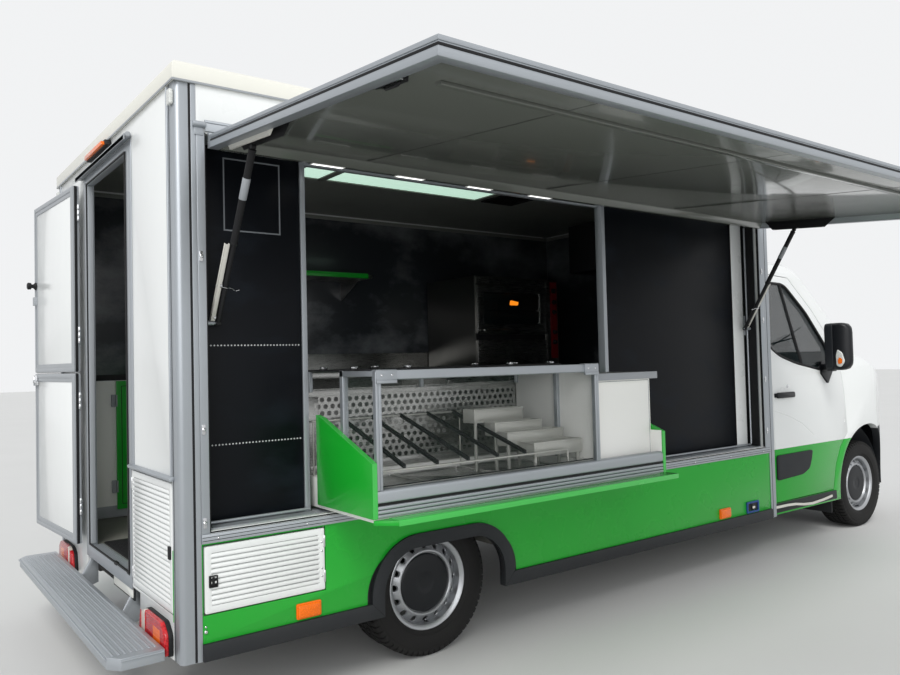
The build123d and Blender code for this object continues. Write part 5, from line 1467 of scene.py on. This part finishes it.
def rear_wall_trim():
    x = BOX_REAR_X
    trim = Form()
    edge_y = -HALF_W + POST_W + 4
    trim.tube([(x - 2, edge_y, 1006), (x - 2, edge_y, WALL_TOP_Z - 14)], 4.5, 10)
    trim.tube([(x - 2, -edge_y, 330), (x - 2, -edge_y, WALL_TOP_Z - 14)], 4.5, 10)
    trim.done("rear_wall_beads", aluminium_z)
    # Black seal round the doorway, with a grey strip beside each jamb
    (low_y, high_y), top = (-410, 330), 2400
    seal = Form().frame(oblong((low_y - 9, high_y + 9), (FLOOR_Z + 4, top + 9), 6),
        oblong((low_y - 1, high_y + 1), (FLOOR_Z + 12, top + 1), 3), (x - 10, x - 3), "X")
    seal.done("doorway_seal", seal_black, bevel=1)
    strip = Form()
    for y, foot_z in (((high_y + 34, high_y + 58), FLOOR_Z + 2), ((low_y - 58, low_y - 34), FLOOR_Z + 500)):
        strip.prism(oblong((x - 7, x - 1), y, 2), (foot_z, top + 20), "Z")
    strip.prism(oblong((x - 2, x + 22), (high_y - 5, high_y + 1)), (FLOOR_Z + 10, top - 2), "Z")
    strip.done("doorway_strips", grey_frame, bevel=1)
    sill = Form().prism([(x - 4, low_y + 1), (x + 58, low_y + 1), (x + 58, high_y - 1), (x - 4, high_y - 1)],
        (FLOOR_Z, FLOOR_Z + 2), "Z")
    sill.done("doorway_sill", aluminium_y, bevel=0.6)
    rib = Form().box((x, x + 3), (low_y + 8, high_y - 8), (FLOOR_Z + 1.8, FLOOR_Z + 4))
    in_rows(rib, "doorway_sill_ribs", aluminium_y, columns=6, across=(9, 0, 0), bevel=0.6)
    gutter = Form()
    gutter.prism(rounded([(x - 34, 2440), (x - 29, 2440), (x - 29, 2456), (x - 2, 2456), (x - 2, 2466),
        (x - 34, 2466)], 2, 2), (-506, 476), "Y")
    gutter.lathe([(0, 9), (3, 12), (24, 12), (27, 9)], (x - 18, -520, 2462), (0, 1, 0), 20)
    gutter.done("door_gutter", grey_frame, bevel=0.8)
    mat = Form().prism(oblong((x + 62, x + 900), (low_y - 20, high_y + 20), 20), (FLOOR_Z, FLOOR_Z + 6), "Z")
    mat.done("floor_mat", seal_black, bevel=2)
    rib = Form().box((x + 74, x + 888), (low_y - 8, low_y + 2), (FLOOR_Z + 5, FLOOR_Z + 8))
    in_rows(rib, "floor_mat_ribs", seal_black, columns=39, across=(0, 19, 0), bevel=1)


def roof_details():
    x0, x1, out = BOX_REAR_X - 9, BOX_FRONT_X + 9, HALF_W + 9
    band = Form().frame(oblong((x0 - 1, x1 + 1), (-out - 1, out + 1), 4),
        oblong((x0 + 3, x1 - 3), (-out + 3, out - 3), 3), (WALL_TOP_Z - 11, WALL_TOP_Z - 2), "Z")
    band.done("roof_edge_bead", grey_frame, bevel=1)
    lid = Form().stack([(oblong((-1140, -930), (-1030, -900), 14), ROOF_TOP_Z + rise)
        for rise in (-1, 9, 13)], "Z")
    lid.done("roof_vent", roof_cream, bevel=3)
    seams = Form()
    for x in (-180, 900, 1980):
        # A seam that meets the roof light stops short of it.
        left_y = -200 if ROOF_LIGHT_X[0] < x < ROOF_LIGHT_X[1] else HALF_W - 14
        seams.box((x - 9, x + 9), (-HALF_W + 14, left_y), (ROOF_TOP_Z - 1, ROOF_TOP_Z + 1.5))
    seams.done("roof_seams", roof_cream, bevel=1)
    light = Form().frame(oblong(ROOF_LIGHT_X, ROOF_LIGHT_Y, 14), oblong((-212, 1172), (-182, 72), 10),
        (ROOF_TOP_Z - 1, ROOF_TOP_Z + 17), "Z")
    light.done("roof_light_frame", grey_frame, bevel=2)


hatch_trim()
board_lines()
board_edges()
power_inlet()
rear_wall_trim()
roof_details()


# Inside the shop

def linings():
    inner = HALF_W - WALL_T
    board = Form().box(INSIDE_X, (inner - 5, inner - 1), (1392, 2500))
    board.done("wall_board", dark_marble, bevel=0.6)
    Form().prism(oblong(INSIDE_X, (1356, 1392), 3), (inner - 8, inner - 1)).done("wall_board_rail",
        seal_black, bevel=1)
    # The cornice, the ceiling lining and the roof light's rim are in the ceiling grey, which is in part
    # painted shade.
    edges = Form()
    edges.box(INSIDE_X, (inner - 10, inner - 1), (2498, 2524))
    edges.box((2806, 2816), (-inner + 2, inner - 2), (2500, 2526))
    edges.done("cornice", ceiling_grey, bevel=3)
    ceiling = WALL_TOP_Z
    lining = Form().frame(oblong((-1212, 2816), (-inner + 4, inner - 4)), oblong((-220, 1180), (-190, 80)),
        (ceiling - 5, ceiling - 1), "Z")
    lining.done("ceiling_lining", ceiling_grey)
    rim = Form().frame(oblong(ROOF_LIGHT_X, ROOF_LIGHT_Y, 6), oblong((-214, 1174), (-184, 74), 4),
        (ceiling - 12, ceiling - 4), "Z")
    rim.prism([(-26, ceiling - 12), (26, ceiling - 12), (26, ceiling - 5), (-26, ceiling - 5)], (-204, 94),
        "Y")
    rim.done("roof_light_rim", ceiling_grey, bevel=1.5)
    vent = Form().frame(oblong((1240, 1520), (-180, 90), 10), oblong((1256, 1504), (-164, 74), 8),
        (ceiling - 14, ceiling - 4), "Z")
    vent.done("ceiling_vent", seal_black, bevel=1.5)
    slat = Form().prism([(1262, ceiling - 12), (1266, ceiling - 12), (1274, ceiling - 6),
        (1270, ceiling - 6)], (-164, 74), "Y")
    in_rows(slat, "ceiling_vent_slats", seal_black, columns=15, across=(16, 0, 0))
    # Painted shade: the front wall gets the dark board of the left wall, standing in for the shade on that
    # white wall.
    front = Form().box((2812, 2817), (-inner + 4, inner - 4), (FLOOR_Z + 4, 2500))
    front.done("front_wall_board", dark_marble, bevel=0.6)


def corner_cupboard():
    """Green cupboard door on the left wall by the doorway, with grey hinges and a black line painted as the
    shadow line on its face.
    """
    inner = HALF_W - WALL_T
    door = Form().prism(oblong((-940, -716), (560, 1352), 4), (inner - 24, inner - 6))
    door.done("cupboard_door", panel_green, bevel=1.5)
    line = Form().frame(oblong((-912, -744), (590, 1322), 6), oblong((-908, -748), (594, 1318), 5),
        (inner - 25.2, inner - 23))
    line.done("cupboard_door_line", seal_black)
    hinges = Form()
    for z in (700, 1230):
        hinges.prism(oblong((-968, -938), (z - 38, z + 38), 4), (inner - 20, inner - 2))
        hinges.tube([(-940, inner - 22, z - 36), (-940, inner - 22, z + 36)], 6, 12)
    hinges.done("cupboard_hinges", grey_frame, bevel=1)
    panel = Form().box((-1200, -720), (inner - 4, inner - 1), (FLOOR_Z + 70, 1354))
    panel.done("wall_foot_board", inner_white, bevel=0.6)
    kick = Form().box((-1200, -712), (inner - 8, inner - 1), (FLOOR_Z + 2, FLOOR_Z + 72))
    kick.done("wall_kick_strip", grey_frame, bevel=1)


linings()
corner_cupboard()


# Cab

def along_curve(curve, z):
    """The value of a curve of (z, value) points at a height, straight between them."""
    for (low, one), (high, two) in zip(curve, curve[1:]):
        if z <= high:
            return one + (two - one) * max(0, z - low) / (high - low)
    return curve[-1][1]


# The cab's half width: heights, with the Y there
CAB_SIDE = ((1080, CAB_HALF_W), (1185, 1030), (1290, 1021), (1400, 1004), (1500, 983), (1960, 897),
    (2020, 881), (2068, 857), (2128, 773))
# Centreline of the nose and windscreen: heights, with the X there
NOSE_CURVE = ((300, 5171), (400, 5176), (460, 5187), (520, 5190), (570, 5187), (620, 5178), (740, 5167),
    (860, 5148), (950, 5107), (1040, 5050), (1150, 4930), (1245, 4800), (1330, 4625), (1400, 4450),
    (2062, 3830))
# Round of the nose's corners: Y, with the X there
CORNER_CURVE = ((380, 5300), (700, 5060), (830, 4905), (945, 4720), (1035, 4250))
# Centre of the bow across the nose and the windscreen
SWEEP_X = 2300


def on_nose(y, out, z):
    """A place on the bowed nose or windscreen, standing out ahead of it."""
    bowed = SWEEP_X + math.sqrt((along_curve(NOSE_CURVE, z) - SWEEP_X) ** 2 - y * y)
    return at(min(bowed, along_curve(CORNER_CURVE, abs(y))) + out, y, z)


# Outline of a door's window, X and Z
WINDOW = [(2985, 1480), (2985, 1955), (3370, 1945), (3600, 1735), (3800, 1460), (3800, 1350), (3660, 1290),
    (3300, 1350), (3090, 1410)]


def stepped(points, most=60):
    """More points along the runs, so that what they lay on is followed."""
    line = []
    for one, two in zip(points, points[1:]):
        count = max(1, math.ceil(math.dist(one, two) / most))
        line += [tuple(a + (b - a) * n / count for a, b in zip(one, two)) for n in range(count)]
    return line + points[-1:]


def cab_door(side, name):
    body = "cab_door_" + name

    def on_side(x, out, z):
        return at(x, side * (along_curve(CAB_SIDE, z) + out), z)

    rubber = Form(on_side)
    rubber.tube([(x, -7, z) for x, z in rounded(WINDOW, 60, 5)], 12, 10, looped=True)
    rubber.tube([(x, -9, z) for x, z in stepped([(3316, 1955), (3392, 1340)])], 12, 8)
    rubber.done("window_rubber_" + name, seal_black, body)

    # Protection panel at the foot
    panel = [(2955, 702), (3440, 704), (3420, 640), (3388, 575), (3294, 540), (2955, 527)]
    slab = Form(on_side).stack([(shrunk(rounded(panel, 22), (3190, 620), share), out)
        for out, share in ((-3, 1), (9, 1), (14, 0.95), (14.5, 0.9))])
    slab.done("door_moulding_" + name, trim_black, body, smooth=25)

    handle = Form(on_side)
    grip = oblong((2960, 3190), (1106, 1146), 16)
    handle.stack([(shrunk(grip, (3075, 1126), share), out) for out, share in ((12, 0.9), (18, 1), (30, 1),
        (36, 0.88))])
    for x in (2976, 3160):
        handle.box((x - 14, x + 14), (-4, 16), (1112, 1140))
    handle.done("door_handle_" + name, cap_black, body, bevel=2)
    cup = Form(on_side).lathe([(-6, 42), (2, 44), (4, 41), (-1, 34), (-2, 2)], (3076, 0, 1138), (0, 1, 0), 40)
    cup.done("handle_cup_" + name, cab_paint, body)
    Form(on_side).lathe([(0, 10), (4, 10), (5, 7)], (3142, 0, 1186), (0, 1, 0), 20).done("door_lock_" + name,
        chrome, body)
    # Pressed crease along the door, and the mirror's pointed foot
    crease = stepped([(2962, 1018), (3156, 970), (3330, 906), (3480, 815)], 40)
    Form(on_side).tube([(x, -3.5, z) for x, z in crease], 6, 10).done("door_crease_" + name, cab_paint, body)
    foot = [(3640, 1356), (3800, 1356), (3812, 1300), (3703, 1186), (3622, 1262)]
    sail = Form(on_side).prism(rounded(foot, 10), (-6, 12, 15))
    sail.done("mirror_foot_" + name, cap_black, body, bevel=2)


def mirror_head(side, name):
    """Folded back, with its textured shell outwards and its glasses towards the door."""
    body = "cab_door_" + name

    def shell(layers, radius):
        return Form().stack([(oblong(x, z, radius, 6), side * y) for y, x, z in layers])

    inner = shell(((1106, (3546, 3634), (1300, 1630)), (1112, (3540, 3640), (1292, 1638)),
        (1166, (3537, 3642), (1290, 1640)), (1172, (3541, 3638), (1295, 1636))), 34)
    inner = inner.done("mirror_case_" + name, trim_black, body, bevel=1.5, smooth=50)
    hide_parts("mirror_" + name)
    outer = shell(((1170, (3546, 3634), (1300, 1630)), (1174, (3537, 3642), (1290, 1640)),
        (1222, (3536, 3643), (1290, 1640)), (1256, (3545, 3636), (1300, 1632)),
        (1278, (3562, 3622), (1322, 1612)), (1288, (3582, 3606), (1352, 1586))), 30)
    outer.done("mirror_shell_" + name, cap_black, body, bevel=1, smooth=60)
    stem = Form().stack([(oblong(x, (1282, 1338), 12), side * y) for y, x in ((1004, (3650, 3764)),
        (1060, (3606, 3722)), (1112, (3556, 3668)), (1150, (3550, 3630)))])
    stem.done("mirror_stem_" + name, cap_black, body, bevel=2, smooth=60)
    for label, z in (("main", (1440, 1612)), ("wide", (1322, 1424))):
        glass = Form().prism(oblong((3556, 3624), z, 14), span(side * 1101, side * 1108))
        glass.done("mirror_" + label + "_" + name, mirror_glass, body, bevel=1)
    lamp = rounded([(1196, 1322), (1230, 1312), (1256, 1352), (1240, 1420), (1206, 1446), (1192, 1400)], 14)
    lens = Form().loft([[(x, side * y, z) for y, z in shrunk(lamp, (1224, 1380), share)]
        for x, share in ((3548, 1), (3535, 1), (3531, 0.85))])
    lens.done("mirror_lamp_" + name, lens_clear, body, bevel=1)
    drop = rounded([(1212, 1334), (1240, 1340), (1242, 1372), (1222, 1386), (1208, 1362)], 8)
    Form().prism([(side * y, z) for y, z in drop], (3528, 3534), "X").done("mirror_lamp_bulb_" + name,
        lens_orange, body, bevel=1)


def cab_sill(side, name):
    """Black step cover under the door with a white wavy edge."""
    def on_side(x, out, z):
        return at(x, side * (CAB_HALF_W + out), z)

    cover = Form(on_side)
    cover.prism(rounded([(2862, 302), (2862, 368), (3770, 368), (3776, 302)], 8), (-40, 6))
    cover.done("cab_step_cover_" + name, trim_black, bevel=3)
    wave = [(2862, 346), (3060, 344), (3170, 338), (3280, 322), (3400, 314), (3560, 322), (3690, 334)]
    strip = Form(on_side).prism([(x, z + 9) for x, z in wave] + [(x, z - 9) for x, z in reversed(wave)],
        (6, 16))
    strip.done("cab_step_edge_" + name, bracket_white, bevel=2.5)


both_sides(cab_door)
both_sides(mirror_head)
both_sides(cab_sill)


def nose():
    grille = Form(on_nose)
    for n in range(5):
        grille.tube([(y, 3, 826 + n * 34) for y in range(-520, 521, 40)], 8, 8)
    for z in (806, 978):
        grille.tube([(y, 3, z) for y in range(-540, 541, 40)], 7, 8)
    grille.done("grille_bars", cap_black)
    air = Form(on_nose)
    for n in range(4):
        air.tube([(y, 2, 440 + n * 36) for y in range(-480, 481, 40)], 8, 8)
    air.done("air_intake_bars", cap_black)
    for side, name in ((-1, "right"), (1, "left")):
        lamp = Form(on_nose)
        for y, radius in ((622, 46), (716, 38)):
            lamp.lathe([(-6, radius), (9, radius), (11, radius - 5), (6, radius - 9), (3, 4)],
                (side * y, 0, 902), (0, 1, 0), 32)
        lamp.done("headlamp_bowls_" + name, chrome)
        fog = Form(on_nose)
        fog.lathe([(-4, 62), (6, 62), (10, 56), (5, 50)], (side * 640, 0, 470), (0, 1, 0), 36)
        fog.done("fog_lamp_rims_" + name, cap_black)
        Form(on_nose).lathe([(0, 51), (4, 51), (6, 44)], (side * 640, 0, 470), (0, 1, 0),
            36).done("fog_lamps_" + name, lens_clear)
    plate = Form().prism(oblong((-260, 260), (548, 658), 8), (NOSE_X + 2, NOSE_X + 7), "X")
    holder = Form().prism(oblong((-264, 264), (544, 662), 10), (NOSE_X - 30, NOSE_X + 4), "X")
    holder.done("front_plate_holder", trim_black, bevel=1.5)
    plate.done("front_plate", plate_white, bevel=0.8)
    wipers = Form(on_nose)
    for y0, y1 in ((560, 40), (-60, -600)):
        wipers.tube(stepped([(y0, 16, 1446), (y0 - 60, 22, 1500), (y1 + 120, 16, 1560)], 60), 6, 8)
        wipers.tube(stepped([(y0 - 150, 9, 1500), (y1, 9, 1640)], 60), 4, 8)
    wipers.done("wipers", seal_black)
    screen = [(-850, 1425), (850, 1425), (745, 2040), (-745, 2040)]
    rubber = Form(on_nose).tube([(y, 0, z) for y, z in rounded(stepped(screen + screen[:1], 80)[:-1], 10,
        1)], 10, 8, looped=True)
    rubber.done("screen_rubber", seal_black)


nose()


# Under the truck

def underside():
    """Exhaust with its box, tail and hangers, and the propeller shaft."""
    exhaust = Form().tube([(3500, -250, 420), (2400, -250, 400), (2330, -262, 396)], 27, 16)
    exhaust.tube([(1650, -262, 396), (700, -262, 400), (420, -300, 520), (-300, -300, 540),
        (-620, -300, 420), (-1180, -330, 356)], 24, 16)
    exhaust.lathe([(0, 27), (30, 84), (50, 92), (630, 92), (650, 84), (690, 27)], (1645, -262, 396),
        (1, 0, 0), 32)
    exhaust.done("exhaust", cast_grey, bevel=1)
    hangers = Form()
    for x, y, pipe_z, frame_z in ((1700, -262, 480, 490), (2250, -262, 480, 490), (-900, -312, 380, 430)):
        hangers.tube([(x, y, pipe_z), (x, -330, frame_z), (x, -392, frame_z)], 5, 8)
    hangers.done("exhaust_hangers", frame_black)
    shaft = Form().lathe([(0, 34), (20, 46), (60, 46), (80, 38), (3300, 38), (3320, 46), (3370, 46),
        (3390, 34)], (330, 0, 380), (1, 0, 0.02), 24)
    shaft.done("drive_shaft", cast_grey, bevel=1)


underside()


# Seats

SEATS_Y = (430, -60, -520)


def blown_up(name, form, voxel):
    """A pad swollen by the air inside it, as cloth is."""
    pad = bpy.data.objects.new(name, form.mesh_now(name))
    bpy.context.scene.collection.objects.link(pad)
    skin = pad.modifiers.new("skin", "REMESH")
    skin.mode = "VOXEL"
    skin.voxel_size = voxel / 1000
    plain(pad)
    air = pad.modifiers.new("air", "CLOTH")
    air.settings.use_pressure = True
    air.settings.uniform_pressure_force = 4
    air.settings.effector_weights.gravity = 0
    air.point_cache.frame_end = 20
    for number in range(1, 21):
        bpy.context.scene.frame_set(number)
    plain(pad)
    bpy.context.scene.frame_set(1)
    finer = pad.modifiers.new("finer", "SUBSURF")
    finer.levels = finer.render_levels = 1
    mesh = plain(pad)
    bpy.data.objects.remove(pad)
    return mesh


def sewn(mesh, seams, depth=7.0, half=11.0):
    """Draws the skin in along seams; each gives a point's distance from it, or None away from it."""
    normals = [vertex.normal.copy() for vertex in mesh.vertices]
    for vertex, normal in zip(mesh.vertices, normals):
        spot = (vertex.co - SHIFT) * 1000
        gaps = [gap for gap in (seam(spot, normal) for seam in seams) if gap is not None and gap < half]
        if gaps:
            vertex.co -= normal * depth / 1000 * (1 - min(gaps) / half) ** 2
    return mesh


def across_ribs(width, outline, rounding=16):
    """A form lofted across a seat: width gives (y, inset, dip) on one side, and outline the shape there."""
    spans = [(-y, *shape) for y, *shape in width] + list(reversed(width))
    return Form().stack([(rounded(outline(inset, dip), rounding), y) for y, inset, dip in spans])


def seat_pads():
    def cushion(inset, dip):
        top = 990 - dip - inset
        return [(2968 + inset, 870 + inset), (3428 - inset, 870 + inset), (3442 - inset, 906),
            (3438 - inset, 948 - inset), (3396 - inset, top), (2990 + inset, top - 6),
            (2968 + inset, top - 30)]

    def back(inset, dip):
        return [(2906 + inset, 1006 + inset), (3010 - dip - inset, 1006 + inset), (3004 - dip - inset, 1140),
            (2970 - dip - inset, 1540), (2944 - dip - inset, 1590 - inset), (2888 + inset, 1590 - inset),
            (2880 + inset, 1540)]

    def head(inset, _):
        return [(2882 + inset, 1618 + inset), (2938 - inset, 1618 + inset), (2944 - inset, 1700),
            (2932 - inset, 1778 - inset), (2886 + inset, 1780 - inset), (2880 + inset, 1700)]

    bolsters = ((213, 16, 0), (206, 5, 0), (188, 0, 0), (162, 0, 4), (142, 0, 22), (60, 0, 27))
    seams_down = [lambda p, n: abs(abs(p.y) - 150) if n.z > 0.35 and 2985 < p.x < 3425 else None]
    seams_down += [lambda p, n, x=x: abs(p.x - x) if n.z > 0.35 and abs(p.y) < 152 else None
        for x in (3130, 3290)]
    seams_back = [lambda p, n: abs(abs(p.y) - 150) if n.x > 0.35 and 1020 < p.z < 1575 else None]
    seams_back += [lambda p, n, z=z: abs(p.z - z) if n.x > 0.35 and abs(p.y) < 152 else None
        for z in (1180, 1420)]
    seams_head = [lambda p, n: abs(p.x - 2912) if abs(n.x) < 0.7 else None]
    pads = (("cushion", across_ribs(bolsters, cushion, 18), 8, seams_down, 0.75),
        ("back", across_ribs(bolsters, back, 16), 8, seams_back, 0.75),
        ("head_rest", across_ribs(((110, 16, 0), (103, 5, 0), (88, 0, 0)), head, 14), 6, seams_head, 0.8))
    for label, form, voxel, seams, fill in pads:
        mesh = sewn(blown_up("seat_" + label, form, voxel), seams)
        for number, y in enumerate(SEATS_Y, 1):
            moved = mesh.copy()
            moved.transform(Matrix.Translation((0, y / 1000, 0)))
            pad = shown("seat_%s_%d" % (label, number), moved, seat_cloth, smooth=180)


def seat_frames():
    """Moulded bases with their runners, side covers, tilt levers and the head rests' bars."""
    bases, bars, knobs = Form(), Form(), Form()
    for y in SEATS_Y:
        bases.stack([(oblong((3010 + inset, 3400 - inset), (y - 213 + inset, y + 213 - inset), 26), z)
            for z, inset in ((600, 0), (664, 0), (668, 6), (846, 12), (850, 4), (866, 4))], "Z")
        for side in (-1, 1):
            bases.prism(rounded([(2946, 880), (3120, 872), (3130, 930), (3010, 1040), (2950, 1030)], 20),
                span(y + side * 210, y + side * 222))
            bases.box((2990, 3440), span(y + side * 150, y + side * 182), (600, 616))
            bars.tube([(2912, y + side * 58, 1560), (2910, y + side * 58, 1640)], 6, 14)
            knobs.lathe([(-2, 27), (8, 27), (12, 22), (13, 4)], (3010, y + side * 218, 960), (0, side, 0), 24)
        bars.tube([(3380, y - 120, 868), (3456, y - 120, 856), (3456, y + 120, 856), (3380, y + 120, 868)],
            6, 10)
        knobs.prism(rounded([(3050, 962), (3082, 962), (3090, 1046), (3062, 1052)], 6), (y + 214, y + 226))
    bases = bases.done("seat_bases", trim_black, bevel=2.5)
    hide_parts("cab_seats")
    bars.done("seat_bars", chrome)
    knobs.done("seat_knobs", cap_black, bevel=1)


seat_frames()
seat_pads()


# Stage, light and camera

def stage_and_light():
    mesh = bpy.data.meshes.new("stage_floor")
    form = bmesh.new()
    reach = 60
    form.faces.new([form.verts.new((x, y, 0)) for x, y in ((-reach, -reach), (reach, -reach), (reach, reach),
        (-reach, reach))])
    form.to_mesh(mesh)
    form.free()
    floor = bpy.data.objects.new("stage_floor", mesh)
    bpy.context.scene.collection.objects.link(floor)
    finish = Finish("stage_pale", Roughness=0.9)
    finish.feed("Base Color", finish.mix(finish.noise(0.7, 3), (0.62, 0.62, 0.61), (0.66, 0.66, 0.65)))
    floor.data.materials.append(finish.material)

    world = bpy.data.worlds.new("studio")
    bpy.context.scene.world = world
    world.use_nodes = True
    studio = Tree()
    studio.nodes = world.node_tree
    studio.nodes.nodes.clear()
    seen = [studio.add("ShaderNodeLightPath", output=ray) for ray in ("Is Camera Ray", "Is Glossy Ray",
        "Is Transmission Ray")]
    seen = seen[0].maths("MAXIMUM", seen[1]).maths("MAXIMUM", seen[2])
    light = studio.add("ShaderNodeBackground", {}, {"Color": (0.93, 0.96, 1, 1), "Strength": 0.6})
    backdrop = studio.add("ShaderNodeBackground", {}, {"Color": (0.93, 0.94, 0.95, 1), "Strength": 0.95})
    mixed = studio.add("ShaderNodeMixShader", {}, {0: seen, 1: light, 2: backdrop})
    studio.add("ShaderNodeOutputWorld", {}, {"Surface": mixed})

    sun = bpy.data.lights.new("soft_sun", "SUN")
    sun.energy = 1.6
    sun.angle = math.radians(25)
    sun.color = (1, 0.985, 0.96)
    lamp = bpy.data.objects.new("soft_sun", sun)
    lamp.rotation_euler = (math.radians(38), math.radians(-18), math.radians(-20))
    bpy.context.scene.collection.objects.link(lamp)
    # A low soft light from the shop's side, as the open sky gives under the awning
    low_sun = bpy.data.lights.new("low_sky", "SUN")
    low_sun.energy = 1.45
    low_sun.angle = math.radians(60)
    low_lamp = bpy.data.objects.new("low_sky", low_sun)
    low_lamp.rotation_euler = (math.radians(76), 0, math.radians(-33))
    bpy.context.scene.collection.objects.link(low_lamp)


def photo_camera():
    """Stands and points as the camera of the photo did."""
    focal_pixels, photo_width, sensor = 782.4, 900, 36
    yaw, pitch, roll = math.radians(53.01), math.radians(1.77), math.radians(-1.39)
    ahead = Vector((math.cos(pitch) * math.cos(yaw), math.cos(pitch) * math.sin(yaw), math.sin(pitch)))
    right = Vector((math.sin(yaw), -math.cos(yaw), 0))
    up = right.cross(ahead)
    tilted_right = right * math.cos(roll) + up * math.sin(roll)
    tilted_up = up * math.cos(roll) - right * math.sin(roll)
    camera = bpy.data.cameras.new("camera")
    camera.lens = focal_pixels * sensor / photo_width
    camera.sensor_width = sensor
    camera.clip_end = 200
    thing = bpy.data.objects.new("camera", camera)
    turn = Matrix((tilted_right, tilted_up, -ahead)).transposed().to_4x4()
    thing.matrix_world = Matrix.Translation(at(-2207, -4095, 1422)) @ turn
    bpy.context.scene.collection.objects.link(thing)
    bpy.context.scene.camera = thing


stage_and_light()
photo_camera()
bpy.context.scene.view_settings.view_transform = "Standard"
